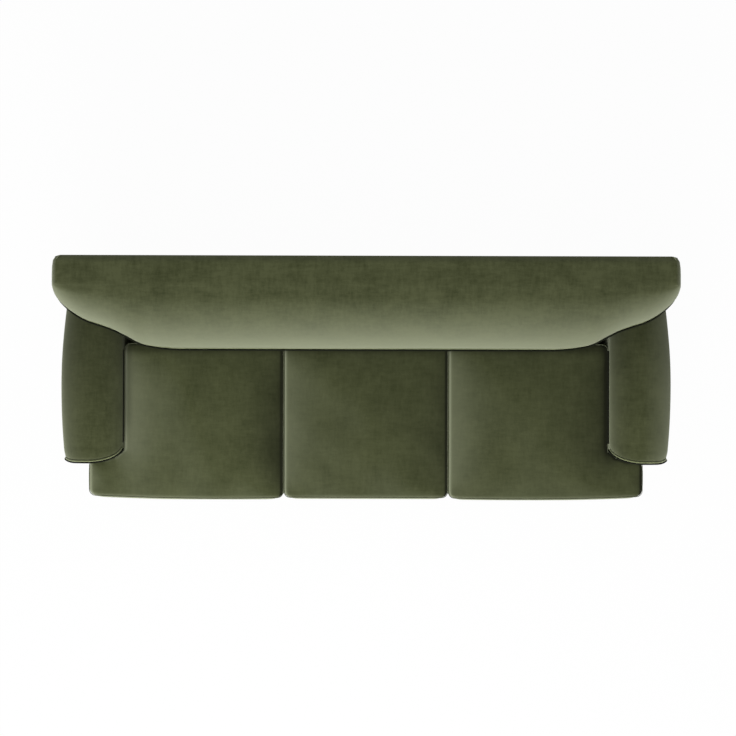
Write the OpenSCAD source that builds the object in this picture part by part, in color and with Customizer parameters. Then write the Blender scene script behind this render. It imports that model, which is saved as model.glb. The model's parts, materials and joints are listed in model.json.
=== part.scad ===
// Three-seat tight back sofa with loose T-shaped seat cushions and rolled arms.
// X runs to the sitter's left, Y to the rear, Z up. The origin is on the floor under the middle.

/* [Overall] */
// Width over the back and over the arm rolls
sofa_w = 2252; // [2100:1:2400]
// Depth from the cushion fronts to the rear of the back
sofa_d = 896; // [860:1:940]
// Height of the top of the back
sofa_h = 860; // [820:1:900]

/* [Legs] */
// Height of a wooden leg without its glide
leg_h = 126; // [90:1:160]
// Radius of a leg at its top
leg_top_r = 30; // [24:0.5:34]
// Radius of a leg at its foot
leg_foot_r = 19; // [16:0.5:23]
// Thickness of the glide under each leg
glide_t = 4; // [3:0.5:8]
// Radius of the glide
glide_r = 15; // [10:0.5:16]
// How far a corner leg's axis is inside the rails' outer faces
leg_inset = 62; // [50:1:80]
// Radius of the hanger bolt in each leg
bolt_r = 4; // [3:0.5:6]
// Length of the hanger bolt
bolt_len = 80; // [50:1:100]
// Radius of the threaded insert in the wood above
insert_r = 7; // [6:0.5:9]
// Length of the threaded insert
insert_len = 18; // [12:1:30]

/* [Base frame] */
// Height of the seat rails
rail_h = 150; // [110:1:170]
// Thickness of the seat rails
rail_t = 30; // [22:1:34]
// Width of a stretcher under the seat
stretcher_w = 40; // [30:1:60]
// Height of a stretcher under the seat
stretcher_h = 90; // [60:1:100]
// Width and length of a triangular corner block
block_w = 90; // [70:1:96]
// How far the base stays behind the cushion fronts
base_setback = 18; // [10:1:40]
// Thickness of the felt on the front rail
border_pad_t = 8; // [4:0.5:14]
// Thickness of the upholstery cloth
cloth_t = 2; // [1.2:0.1:2.5]

/* [Seat springs and deck] */
// Diameter of the spring wire
wire_d = 3.2; // [2.5:0.1:4]
// Half the width of a sinuous spring
spring_amp = 22; // [15:1:28]
// Distance between neighbouring springs
spring_pitch = 170; // [155:1:178]
// Thickness of the cloth over the springs
insulator_t = 1.5; // [1:0.1:3]
// Thickness of the deck padding
deck_pad_t = 29; // [20:1:40]

/* [Seat cushions] */
// Thickness of a seat cushion at its seams
cushion_t = 150; // [120:1:170]
// How much higher a cushion is in the middle than at its seams
cushion_crown = 11; // [5:0.5:20]
// How far the boxing bulges out past the seams
cushion_bulge = 6; // [3:0.5:9]
// Corner radius of a cushion
cushion_corner_r = 22; // [16:1:40]
// How far the front edge curves back at the outer end of a side cushion
cushion_bow = 8; // [0:1:20]
// Bulge of a side cushion's front past its straight line
front_bulge = 7; // [0:1:12]
// Width of the middle cushion's place
middle_w = 618; // [560:1:660]
// Set-back of the middle cushion's front behind the side cushions
middle_back = 4; // [0:1:10]
// Width of the ear in front of each arm
ear_w = 136; // [110:1:150]
// Visible seat depth, from the cushion fronts to the widest place of the back
seat_d = 564; // [530:1:600]
// Thickness of the cushion cover
cover_t = 1.5; // [1:0.1:2.5]

/* [Arms] */
// Height of the top of an arm
arm_top_z = 640; // [610:1:660]
// Height of the widest place of the arm roll
arm_roll_z = 560; // [545:1:570]
// Width of an arm, from the seat to the widest place of its roll
arm_w = 216; // [200:1:240]
// How far the arm roll overhangs the seat
roll_over_in = 11; // [5:0.5:16]
// How far the arm roll overhangs the base on the outside
roll_over_out = 89; // [70:1:100]
// Depth of the roll's underside below its widest place
roll_drop = 60; // [50:1:70]
// How far the front of an arm is behind the cushion fronts
arm_setback = 156; // [140:1:170]
// How much narrower the outer bow of an arm is at its rear quarter
arm_bow = 20; // [0:1:28]
// Length of the rounded inner front corner of an arm across the sofa
arm_corner_x = 120; // [90:1:140]
// Length of the rounded inner front corner of an arm along the sofa's depth
arm_corner_y = 52; // [30:1:120]
// How far the front of an arm curves back at its outer end
arm_outer_curve = 17; // [0:1:24]
// Thickness of the padding round an arm
arm_foam_t = 18; // [10:1:24]
// Thickness of the boards in an arm
arm_board_t = 20; // [16:1:25]

/* [Back] */
// Lean of the outside back
back_rake = 5.5; // [3:0.5:8]
// Depth of the flat top of the back
crest_d = 103; // [80:1:130]
// How far the back is tucked in above the seat cushions
back_tuck = 26; // [16:0.5:32]
// Depth of a frame post of the back
post_d = 45; // [35:1:55]
// Width of a frame post of the back
post_w = 44; // [35:1:50]
// Width of a webbing strap
strap_w = 50; // [40:1:60]
// Thickness of a webbing strap
strap_t = 2.4; // [1.5:0.1:3]
// Diameter of the piping
welt_d = 6; // [4:0.5:8]

/* [Hidden] */

// Colours, as in the photograph and for the plain inner materials
velvet = "#4c5238";
velvet_dark = "#3b402c";
wood = "#b08d5f";
leg_wood = "#3a2a1d";
steel = "#8f9296";
foam = "#e6dfc4";
jute = "#a58c5c";
black_cloth = "#2a2a2a";
nylon = "#1c1c1c";

// Running clearances
fit = 0.3;
cut_over = 20;

// Levels
base_z = glide_t + leg_h;
rail_top = base_z + rail_h;
wire_z = rail_top + fit;
tie_z = wire_z + wire_d;
insulator_z = tie_z + wire_d + fit;
deck_pad_z = insulator_z + insulator_t + fit;
deck_cloth_z = deck_pad_z + deck_pad_t;
deck_z = deck_cloth_z + cloth_t;
cushion_z = deck_z + fit;
seam_z = cushion_z + cushion_t;

// Plan lines
front_y = -sofa_d / 2;
rear_top_y = sofa_d / 2;
lumbar_y = front_y + seat_d;
low_back_y = lumbar_y + back_tuck;
base_half = sofa_w / 2 - roll_over_out;
seat_half = sofa_w / 2 - arm_w;
base_front_y = front_y + base_setback;
rail_front_y = base_front_y + cloth_t + border_pad_t;
side_x = base_half - cloth_t;
arm_front_y = front_y + arm_setback;
ear_half = seat_half + ear_w;
roll_in = seat_half - roll_over_in;
arm_mid = (sofa_w / 2 + roll_in) / 2;
roll_a = (sofa_w / 2 - roll_in) / 2;
roll_b = arm_top_z - arm_roll_z;
welt_r = welt_d / 2;

// Rear face of the outside back at a height
function rear_y(z) = rear_top_y - (sofa_h - z) * tan(back_rake);
rear_rail_y = rear_y(base_z) - cloth_t - rail_t - fit;
post_front = cloth_t + post_d;

// Small helpers
function mix(a, b, t) = a + (b - a) * t;
function unit(v) = v / norm(v);
module box(x0, x1, y0, y1, z0, z1) translate([x0, y0, z0]) cube([x1 - x0, y1 - y0, z1 - z0]);
module other_side() mirror([1, 0, 0]) children();
module up_from(z, h) translate([0, 0, z]) linear_extrude(h) children();
// A flat shape in X and Z, from one depth to another
module through_y(y0, y1) translate([0, y1, 0]) rotate([90, 0, 0]) linear_extrude(y1 - y0) children();
// A bar that leans with the outside back, between two depths in from it
module raked_bar(x0, x1, z0, z1, deep, shallow) {
    translate([x0, 0, 0]) rotate([90, 0, 90]) linear_extrude(x1 - x0) polygon([
        [rear_y(z0) - deep, z0], [rear_y(z0) - shallow, z0],
        [rear_y(z1) - shallow, z1], [rear_y(z1) - deep, z1]]);
}

// Solid between two grids of points with the same rows and columns
module slab(outer, inner) {
    rows = len(outer);
    cols = len(outer[0]);
    n = rows * cols;
    points = concat([for (row = outer) each row], [for (row = inner) each row]);
    skin = [for (r = [0 : rows - 2]) for (c = [0 : cols - 2]) let (a = r * cols + c)
        each [[a, a + cols, a + 1], [a + 1, a + cols, a + cols + 1]]];
    back_skin = [for (f = skin) [f[0] + n, f[2] + n, f[1] + n]];
    low = [for (c = [0 : cols - 2]) each [[c, c + 1, c + n], [c + 1, c + 1 + n, c + n]]];
    last = (rows - 1) * cols;
    high = [for (c = [0 : cols - 2]) let (a = last + c)
        each [[a, a + n, a + 1], [a + 1, a + n, a + 1 + n]]];
    near = [for (r = [0 : rows - 2]) let (a = r * cols)
        each [[a, a + n, a + cols], [a + cols, a + n, a + cols + n]]];
    far = [for (r = [0 : rows - 2]) let (a = r * cols + cols - 1)
        each [[a, a + cols, a + n], [a + cols, a + cols + n, a + n]]];
    polyhedron(points, concat(skin, back_skin, low, high, near, far), convexity = 8);
}

// Closed solid through a stack of loops, with a point in the middle of each end
module loft(loops, low_tip, high_tip) {
    rows = len(loops);
    cols = len(loops[0]);
    n = rows * cols;
    skin = [for (r = [0 : rows - 2]) for (c = [0 : cols - 1])
        let (a = r * cols + c, b = r * cols + (c + 1) % cols)
        each [[a, a + cols, b], [b, a + cols, b + cols]]];
    low = [for (c = [0 : cols - 1]) [n, c, (c + 1) % cols]];
    top = (rows - 1) * cols;
    high = [for (c = [0 : cols - 1]) [n + 1, top + (c + 1) % cols, top + c]];
    polyhedron(concat([for (l = loops) each l], [low_tip, high_tip]), concat(skin, low, high), convexity = 8);
}

// Round tube along points, closed at both ends
module tube(path, r, sides = 6) {
    last = len(path) - 1;
    rings = [for (i = [0 : last]) let (
        d = unit(path[min(i + 1, last)] - path[max(i - 1, 0)]),
        s = unit(cross(d, abs(d[2]) > 0.9 ? [0, 1, 0] : [0, 0, 1])), u = cross(s, d))
        [for (k = [0 : sides - 1]) path[i] + r * (cos(360 * k / sides) * s - sin(360 * k / sides) * u)]];
    loft(rings, path[0], path[last]);
}

// Legs

module leg(x, y) {
    color(leg_wood) difference() {
        translate([x, y, glide_t]) cylinder(h = leg_h, r1 = leg_foot_r, r2 = leg_top_r, $fn = 32);
        translate([x, y, base_z - bolt_len / 2]) cylinder(h = bolt_len, r = bolt_r, $fn = 16);
    }
}

leg_x = side_x - leg_inset;
leg_front_y = rail_front_y + leg_inset;
leg_rear_y = rear_rail_y + rail_t - leg_inset;
leg_places = [[-leg_x, leg_front_y], [leg_x, leg_front_y], [-leg_x, leg_rear_y], [leg_x, leg_rear_y], [0, 0]];

module leg_glides() {
    color(nylon) for (p = leg_places) translate([p[0], p[1], 0]) cylinder(h = glide_t, r = glide_r, $fn = 24);
}

module leg_hanger_bolts() {
    color(steel) for (p = leg_places) translate([p[0], p[1], base_z - bolt_len / 2])
        cylinder(h = bolt_len, r = bolt_r, $fn = 16);
}

module leg_threaded_inserts() {
    color(steel) for (p = leg_places) translate([p[0], p[1], base_z]) difference() {
        cylinder(h = insert_len, r = insert_r, $fn = 12);
        translate([0, 0, -cut_over]) cylinder(h = insert_len + 2 * cut_over, r = bolt_r, $fn = 16);
    }
}

// Holes for the bolts and inserts in the wood above the legs
module bolt_holes() {
    for (p = leg_places) translate([p[0], p[1], base_z - cut_over]) {
        cylinder(h = bolt_len / 2 + cut_over, r = bolt_r, $fn = 16);
        cylinder(h = insert_len + cut_over, r = insert_r, $fn = 12);
    }
}

// Base frame

module front_rail() {
    color(wood) box(-side_x, side_x, rail_front_y, rail_front_y + rail_t, base_z, rail_top);
}

module rear_rail() {
    color(wood) box(-side_x, side_x, rear_rail_y, rear_rail_y + rail_t, base_z, rail_top);
}

module side_rail() {
    color(wood) box(side_x - rail_t, side_x, rail_front_y + rail_t, rear_rail_y, base_z, rail_top);
}

module stretcher(x) {
    color(wood) difference() {
        box(x - stretcher_w / 2, x + stretcher_w / 2, rail_front_y + rail_t, rear_rail_y,
            base_z, base_z + stretcher_h);
        if (x == 0) bolt_holes();
    }
}

module corner_blocks() {
    inner_x = side_x - rail_t;
    y0 = rail_front_y + rail_t;
    color(wood) difference() {
        up_from(base_z, block_w) for (s = [-1, 1]) {
            polygon([[s * inner_x, y0], [s * (inner_x - block_w), y0], [s * inner_x, y0 + block_w]]);
            polygon([[s * inner_x, rear_rail_y], [s * (inner_x - block_w), rear_rail_y],
                [s * inner_x, rear_rail_y - block_w]]);
        }
        bolt_holes();
    }
}

// Seat springs and deck

spring_front_y = rail_front_y + rail_t / 3;
spring_rear_y = rear_rail_y + rail_t * 2 / 3;
spring_count = 2 * floor(seat_half / spring_pitch);
spring_waves = 6;
wave_steps = 4 * spring_waves;
function spring_x(i) = (i - (spring_count - 1) / 2) * spring_pitch;
function wave(t) = [spring_amp * sin(360 * spring_waves * t), mix(spring_front_y, spring_rear_y, t)];
function wave_side(t) = let (d = unit([spring_amp * 2 * PI * spring_waves * cos(360 * spring_waves * t),
    spring_rear_y - spring_front_y])) [d[1], -d[0]];

module seat_springs() {
    one = [for (i = [0 : wave_steps]) let (t = i / wave_steps) wave(t) + wave_side(t) * wire_d / 2];
    two = [for (i = [wave_steps : -1 : 0]) let (t = i / wave_steps) wave(t) - wave_side(t) * wire_d / 2];
    color(steel) for (i = [0 : spring_count - 1]) translate([spring_x(i), 0, 0])
        up_from(wire_z, wire_d) polygon(concat(one, two));
}

clip_w = 14;
clip_t = 1.2;
module spring_clips() {
    color(steel) for (i = [0 : spring_count - 1]) for (y = [spring_front_y, spring_rear_y])
        box(spring_x(i) - clip_w / 2, spring_x(i) + clip_w / 2, y - clip_w / 2, y + clip_w / 2,
            tie_z + fit / 3, tie_z + fit / 3 + clip_t);
}

module spring_tie_wires() {
    reach = (spring_count / 2) * spring_pitch;
    third = (spring_rear_y - spring_front_y) / 3;
    color(steel) for (y = [spring_front_y + third, spring_rear_y - third])
        translate([-reach, y, tie_z + wire_d / 2]) rotate([0, 90, 0])
            cylinder(h = 2 * reach, d = wire_d, $fn = 16);
}

// T-shaped outline of the seat deck, which also fills the corners in front of the arms
module deck_shape(front) {
    narrow = seat_half - fit;
    step = arm_front_y - fit;
    polygon([[-side_x, front], [side_x, front], [side_x, step], [narrow, step], [narrow, low_back_y],
        [-narrow, low_back_y], [-narrow, step], [-side_x, step]]);
}

module seat_insulator() {
    color(jute) up_from(insulator_z, insulator_t) deck_shape(rail_front_y);
}

module deck_pad() {
    color(foam) up_from(deck_pad_z, deck_pad_t) deck_shape(rail_front_y);
}

module deck_cloth() {
    color(velvet_dark) up_from(deck_cloth_z, cloth_t) deck_shape(base_front_y);
}

// Arms

// Outer edge of an arm roll at a depth, widest near its middle
bow_y = -arm_setback / 4;
bow_reach = arm_setback * 2;
function roll_out(y) = roll_a - arm_bow * pow((y - bow_y) / bow_reach, 2);
// Front of an arm at a distance from the middle of the sofa, moved in by the cloth or padding in front
corner_start = roll_in + arm_corner_x * 0.985;
curve_start = arm_mid + roll_a * 0.5;
function arm_front(x, deep = 0) = arm_front_y + deep
    + (x < corner_start
        ? arm_corner_y * (1 - sqrt(max(0, 1 - pow((corner_start - x) / arm_corner_x, 2)))) : 0)
    + (x > curve_start ? arm_outer_curve * pow((x - curve_start) / (roll_a * 0.5), 2) : 0);

// Direction out of the front of the arm, seen from above
function front_out(x) = let (u = (corner_start - x) / arm_corner_x)
    unit([x < corner_start ? -arm_corner_y / arm_corner_x * u / sqrt(1 - u * u)
        : x > curve_start ? 2 * arm_outer_curve * (x - curve_start) / pow(roll_a * 0.5, 2) : 0, -1]);

// Places along the arm's section: up the inner face, over the roll and back to the outer face
roll_steps = 16;
inner_stop = 180 + acos((arm_mid - seat_half) / roll_a);
outer_stop = -acos((base_half - arm_mid) / roll_a);
function roll_point(i, y, deep) = let (
    t = mix(inner_stop, outer_stop, i / roll_steps), c = cos(t), s = sin(t),
    a = c > 0 ? roll_out(y) : roll_a)
    [arm_mid + (a - deep) * c, arm_roll_z + ((s > 0 ? roll_b : roll_drop) - deep) * s];
arm_low = rail_top + arm_board_t + fit;
function arm_section(y, deep = 0, low = arm_low) = concat(
    [for (z = [low, seam_z]) [seat_half + deep, z]],
    [for (i = [0 : roll_steps]) roll_point(i, y, deep)],
    [[base_half - deep, arm_roll_z - roll_drop - arm_board_t]]);

arm_rear_y = rear_y(arm_roll_z) - cloth_t - fit;
arm_stations = [0, 0.08, 0.2, 0.36, 0.52, 0.68, 0.84, 1];
function arm_grid(deep, front_deep) = [for (t = arm_stations) let (y = mix(arm_front_y, arm_rear_y, t))
    [for (p = arm_section(y, deep))
        [p[0], mix(arm_front(p[0], front_deep), rear_y(p[1]) - cloth_t - fit, t), p[1]]]];

// Slit for the back's post and notch for its tacking rail
module frame_notches(grow, outer = 0) {
    raked_bar(post_x - grow, post_x + post_w + grow + outer, rail_top, sofa_h, post_front + grow,
        cloth_t - fit);
    raked_bar(0, post_x, tack_z - grow, tack_z + post_w + grow, post_front + grow, -cut_over);
}

module arm_cover() {
    front = 2 * cloth_t - fit;
    color(velvet) difference() {
        slab(arm_grid(0, front), arm_grid(cloth_t, front));
        frame_notches(fit);
    }
}

module arm_foam() {
    near = cloth_t + fit;
    front = 2 * cloth_t;
    color(foam) difference() {
        slab(arm_grid(near, front), arm_grid(near + arm_foam_t, front));
        frame_notches(fit, cloth_t);
    }
}

// Outline of the arm seen from the front, a distance in from its cover
module arm_outline(deep, low) {
    polygon(concat(arm_section(arm_front_y, deep, low), [[base_half - deep, low]]));
}

// Plan line that follows the rounded front of an arm
front_steps = 12;
front_xs = concat(
    [for (i = [front_steps : -1 : 1]) corner_start - (corner_start - roll_in) * sin(90 * i / front_steps)],
    [for (i = [0 : front_steps]) mix(corner_start, arm_mid + roll_a, i / front_steps)]);
function front_line(deep) = [for (x = front_xs) [x, arm_front(x, deep)]];

// A thin panel on the rounded front, inside the piping
module arm_front_panel() {
    color(velvet) intersection() {
        through_y(front_y, rear_top_y) arm_outline(0, deck_z + fit);
        up_from(0, sofa_h) difference() {
            polygon(concat(front_line(0), [[arm_mid + roll_a, rear_top_y], [roll_in, rear_top_y]]));
            polygon(concat(front_line(cloth_t - fit / 3), [[sofa_w, rear_top_y], [0, rear_top_y]]));
        }
    }
}

module arm_front_block() {
    deep = cloth_t + arm_foam_t + 2 * fit;
    color(wood) intersection() {
        through_y(front_y, arm_board_front - fit) arm_outline(deep, arm_low);
        up_from(0, sofa_h) polygon(concat(front_line(cloth_t + fit),
            [[arm_mid + roll_a, rear_top_y], [roll_in, rear_top_y]]));
    }
}

arm_board_front = arm_front_y + arm_corner_y + arm_board_t + fit;

module arm_base_board() {
    color(wood) box(seat_half + cloth_t, side_x, arm_front_y + arm_corner_y / 2,
        rear_y(rail_top) - post_front - fit, rail_top, rail_top + arm_board_t);
}

module arm_top_board() {
    half = roll_a * 0.36;
    color(wood) box(arm_mid - half, arm_mid + half, arm_board_front, rear_y(arm_roll_z) - post_front - fit,
        arm_roll_z, arm_roll_z + arm_board_t);
}

module outside_arm_panel() {
    // An L-shaped panel: the whole base, and the arm above it
    high = arm_roll_z - roll_drop - arm_board_t - fit;
    front = arm_front(base_half, cloth_t + fit);
    behind = cloth_t + fit;
    color(velvet) translate([side_x, 0, 0]) rotate([90, 0, 90]) linear_extrude(cloth_t) polygon([
        [base_front_y + cloth_t, base_z], [rear_y(base_z) - behind, base_z], [rear_y(high) - behind, high],
        [front, high], [front, deck_z], [base_front_y + cloth_t, deck_z]]);
}

// Front border, and the cloth under the seat

module front_border_pad() {
    color(foam) box(-side_x, side_x, base_front_y + cloth_t, rail_front_y, base_z, deck_cloth_z);
}

module front_border_cover() {
    color(velvet) box(-base_half, base_half, base_front_y, base_front_y + cloth_t, base_z, deck_cloth_z);
}

dust_t = 1;
module dust_cover() {
    color(black_cloth) difference() {
        box(-side_x, side_x, rail_front_y, rear_rail_y + rail_t, base_z - dust_t, base_z);
        for (p = leg_places) translate([p[0], p[1], 0]) cylinder(h = sofa_h, r = leg_top_r + fit, $fn = 24);
    }
}

// Back

// Half of the plan outline of the back, as shares of its half width and of its depth
wing_shares = [[0, 0], [0.3, 0], [0.55, 0], [0.64, 0.004], [0.7, 0.03], [0.735, 0.066], [0.77, 0.144],
    [0.81, 0.227], [0.855, 0.288], [0.903, 0.346], [0.958, 0.466], [0.9905, 0.594], [1, 0.72],
    [1, 0.86], [0.996, 0.955], [0.982, 1]];
wing_last = len(wing_shares) - 1;
back_shares = concat([for (i = [wing_last : -1 : 1]) [-wing_shares[i][0], wing_shares[i][1]]], wing_shares);
wing_half = sofa_w / 2;
low_half = roll_in - fit;
wing_low_z = arm_top_z + welt_d + 2 * fit;
// Share of the way from the middle of the back to its wing
wing_ramp = arm_w * 0.53;
function wing_share(x) = let (t = 1 - (low_half - abs(x)) / wing_ramp) max(0, min(1, t));
function clamp_x(x, limit) = max(-limit, min(limit, x));

// Levels of the back's padding, in the middle and at the wings, with how far each is tucked in
mid_top = arm_roll_z + post_w;
wing_top = wing_low_z + post_w;
back_levels = [[deck_z, deck_z, back_tuck], [seam_z, seam_z, back_tuck],
    [mix(seam_z, arm_roll_z, 0.3), arm_roll_z, back_tuck / 3],
    [mix(seam_z, arm_roll_z, 0.5), wing_low_z - fit, 0], [arm_roll_z, wing_low_z, 0], [mid_top, wing_top, 0]];
crown_angles = [18, 36, 54, 72, 90];
crest_y = rear_top_y - crest_d;
crest_narrow = 0.975;

// One level's outline, moved in by the cloth in front
function back_row(k, deep, behind = cloth_t) = let (lv = back_levels[k]) [for (s = back_shares) let (
    z = mix(lv[0], lv[1], wing_share(s[0] * wing_half)), half = k < 4 ? low_half : wing_half,
    x = clamp_x(s[0] * wing_half, half), y0 = lumbar_y + lv[2] + deep,
    y = min(mix(y0, rear_y(z) - cloth_t, s[1]), rear_y(z) - behind - (1 - s[1]) * post_w / 2))
    [x * (1 - deep / half), y, z + (k > 2 ? deep * wing_share(x) : 0)]];
function crown_row(angle, deep, behind = cloth_t) = [for (p = back_row(5, deep, behind)) let (
    top = [p[0] * crest_narrow, max(p[1], crest_y + deep)],
    y = mix(p[1], top[1], 1 - cos(angle)), z = p[2] + (sofa_h - deep - p[2]) * sin(angle))
    [mix(p[0], top[0], 1 - cos(angle)), y >= rear_y(p[2]) - behind - fit ? rear_y(z) - behind : y, z]];
function back_rows(deep) =
    concat([for (k = [0 : 5]) back_row(k, deep)], [for (a = crown_angles) crown_row(a, deep)]);

// Cloth over the back: outer and inner skins, joined along the bottom and the rear
module back_skin() {
    outer = back_rows(0);
    inner = back_rows(cloth_t);
    cols = len(outer[0]);
    count = len(outer);
    n = count * cols;
    top = (count - 1) * cols;
    skin = [for (r = [0 : count - 2]) for (c = [0 : cols - 2]) let (a = r * cols + c)
        each [[a, a + cols, a + 1], [a + 1, a + cols, a + cols + 1]]];
    back_face = [for (f = skin) [f[0] + n, f[2] + n, f[1] + n]];
    low = [for (c = [0 : cols - 2]) each [[c, c + 1, c + n], [c + 1, c + 1 + n, c + n]]];
    left = [for (r = [0 : count - 2]) let (a = r * cols)
        each [[a, a + n, a + cols], [a + cols, a + n, a + cols + n]]];
    right = [for (r = [0 : count - 2]) let (a = r * cols + cols - 1)
        each [[a, a + cols, a + n], [a + cols, a + cols + n, a + n]]];
    rim = [[top, top + n, top + cols - 1], [top + cols - 1, top + n, top + n + cols - 1]];
    polyhedron([for (row = concat(outer, inner)) each row], concat(skin, back_face, low, left, right, rim,
        [[for (c = [cols - 1 : -1 : 0]) top + c]], [[for (c = [0 : cols - 1]) top + n + c]]), convexity = 8);
}

// The cloth ends at the front of the frame below the wings, and wraps round it above
module inside_back_cover() {
    color(velvet) difference() {
        back_skin();
        raked_bar(-sofa_w, sofa_w, -cut_over, wing_low_z + 2 * cloth_t, frame_face, -cut_over);
    }
}

frame_top_z = sofa_h - crest_d / 3;
frame_half = wing_half * 0.955;
frame_face = post_front + strap_t + fit;
// A level of the foam, closed along its rear
function foam_loop(row) = let (p = row[len(row) - 1])
    concat(row, [for (t = [0.99, 0.98, -0.98, -0.99]) [p[0] * t, p[1], p[2]]]);
module back_foam() {
    deep = cloth_t + fit;
    below = [for (i = [0 : 2]) foam_loop(crown_row(crown_angles[i], deep, frame_face))];
    above = [for (i = [3, 4]) foam_loop(crown_row(crown_angles[i], deep))];
    lip = mix(foam_loop(crown_row(crown_angles[2], deep + cloth_t)), above[0], 0.3);
    loops = concat([for (k = [0 : 5]) foam_loop(back_row(k, deep, frame_face))], below, [lip], above);
    cols = len(loops[0]);
    top = (len(loops) - 1) * cols;
    skin = [for (r = [0 : len(loops) - 2]) for (c = [0 : cols - 1])
        let (a = r * cols + c, b = r * cols + (c + 1) % cols)
        each [[a, a + cols, b], [b, a + cols, b + cols]]];
    color(foam) polyhedron([for (l = loops) each l], concat(skin, [[for (c = [0 : cols - 1]) c]],
        [[for (c = [cols - 1 : -1 : 0]) top + c]]), convexity = 8);
}

// Outline of the outside back, seen from behind, with the flare over the arms
rear_half = wing_half * wing_shares[wing_last][0];
rear_roll = roll_out(arm_rear_y);
roll_low_z = arm_roll_z - roll_drop;
module outside_back_cover() {
    half = [[base_half, base_z], [base_half, roll_low_z],
        [arm_mid + rear_roll * 0.8, roll_low_z + roll_drop / 2], [arm_mid + rear_roll, arm_roll_z],
        [rear_half, wing_low_z], [rear_half, sofa_h - post_w]];
    last = len(half) - 1;
    top_x = rear_half * crest_narrow;
    color(velvet) intersection() {
        raked_bar(-sofa_w, sofa_w, base_z, sofa_h, cloth_t - fit / 3, 0);
        through_y(0, rear_top_y + cut_over) polygon(concat(half, [[top_x, sofa_h], [-top_x, sofa_h]],
            [for (i = [last : -1 : 0]) [-half[i][0], half[i][1]]]));
    }
}

// Piping round the front of each arm roll and along the lower edge of each wing
module piping_side() {
    gap = welt_r + 3 * fit;
    last_y = rear_y(wing_low_z) - cloth_t - welt_d;
    tube([for (i = [0 : roll_steps]) let (p = roll_point(i, arm_front_y, 0), q = gap * front_out(p[0]))
        [p[0] + q[0], arm_front(p[0]) + q[1], p[1]]], welt_r);
    tube([for (p = back_row(4, 0)) if (p[0] > low_half && p[1] < last_y)
        [p[0] - welt_r, p[1] + (p[1] > crest_y ? 0 : welt_r), p[2] - gap]], welt_r);
}

module piping() {
    color(velvet_dark) {
        piping_side();
        other_side() piping_side();
    }
}

post_x = arm_mid - post_w / 2;
module back_post() {
    color(wood) raked_bar(post_x, post_x + post_w, rail_top, frame_top_z, post_front, cloth_t);
}

module back_top_rail() {
    color(wood) raked_bar(-post_x, post_x, frame_top_z - post_w, frame_top_z, post_front, cloth_t);
}

tack_z = deck_z + post_w / 3;
module back_tacking_rail() {
    color(wood) raked_bar(-post_x, post_x, tack_z, tack_z + post_w, post_front, cloth_t);
}

upright_x = seat_half / 3;
module back_uprights() {
    color(wood) for (s = [-1, 1]) raked_bar(s * upright_x - stretcher_w / 2, s * upright_x + stretcher_w / 2,
        tack_z + post_w, frame_top_z - post_w, post_front, cloth_t);
}

module wing_board() {
    color(wood) raked_bar(post_x + post_w, frame_half, wing_low_z + 2 * cloth_t + fit,
        frame_top_z, post_front, cloth_t);
}

strap_pitch = seat_half * 2 / 9;
module back_webbing() {
    color(jute) for (i = [-3 : 3]) raked_bar(i * strap_pitch - strap_w / 2, i * strap_pitch + strap_w / 2,
        tack_z, frame_top_z, post_front + strap_t, post_front);
}

// Seat cushions

side_w = seat_half - middle_w / 2;
cushion_rear_y = low_back_y - fit;

// Round corner as points, from one angle to another
corner_steps = 3;
side_points = 3;
rear_points = 4;
bow_points = 6;
function arc(x, y, r, from, to) = [for (i = [0 : corner_steps]) let (a = mix(from, to, i / corner_steps))
    [x + r * cos(a), y + r * sin(a)]];

// Plan outline at the seams. The side cushions have an ear in front of the arm, on the +X side here
edge_in = cushion_bulge + fit;
function straight(a, b, n) = [for (i = [1 : n]) mix(a, b, i / (n + 1))];
function bowed(a, b, n, bow) =
    [for (i = [1 : n]) let (t = i / (n + 1)) mix(a, b, t) + [0, -bow * 4 * t * (1 - t)]];
function middle_outline() = let (
    r = cushion_corner_r, x = middle_w / 2 - edge_in, y0 = front_y + edge_in + middle_back,
    y1 = cushion_rear_y - edge_in)
    concat(arc(x - r, y0 + r, r, -90, 0), straight([x, y0 + r], [x, y1 - r], side_points),
        arc(x - r, y1 - r, r, 0, 90), straight([x - r, y1], [r - x, y1], rear_points),
        arc(r - x, y1 - r, r, 90, 180), straight([-x, y1 - r], [-x, y0 + r], side_points),
        arc(r - x, y0 + r, r, 180, 270), straight([r - x, y0], [x - r, y0], rear_points));
// The inner corner of an ear follows the rounded corner of the arm, with room for the bulge
corner_turn = asin((corner_start - seat_half) / arm_corner_x);
corner_points = 5;
corner_room = edge_in + 12 * fit;
function corner_point(i) = let (a = corner_turn * i / corner_points)
    [corner_start - arm_corner_x * sin(a), arm_front_y + arm_corner_y * (1 - cos(a))]
    - corner_room * unit([arm_corner_y * sin(a), arm_corner_x * cos(a)]);
function side_outline() = let (
    r = cushion_corner_r, xi = middle_w / 2 + edge_in, xo = seat_half - edge_in, xe = ear_half - edge_in,
    y0 = front_y + edge_in + front_bulge - cushion_bow / 2 + fit, y1 = cushion_rear_y - edge_in,
    ye = arm_front_y - corner_room, ri = r / 2, y_end = y0 + cushion_bow)
    concat(arc(xe - r, y_end + r, r, -90, 0), straight([xe, y_end + r], [xe, ye - ri], 1),
        [[xe, ye - ri], [xe - ri * 0.3, ye - ri * 0.3], [xe - ri, ye]],
        [for (i = [0 : corner_points]) corner_point(i)],
        straight([xo, arm_front(seat_half)], [xo, y1 - r], side_points), arc(xo - r, y1 - r, r, 0, 90),
        straight([xo - r, y1], [xi + r, y1], rear_points), arc(xi + r, y1 - r, r, 90, 180),
        straight([xi, y1 - r], [xi, y0 + r], side_points), arc(xi + r, y0 + r, r, 180, 270),
        bowed([xi + r, y0], [xe - r, y_end], bow_points, front_bulge));

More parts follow.
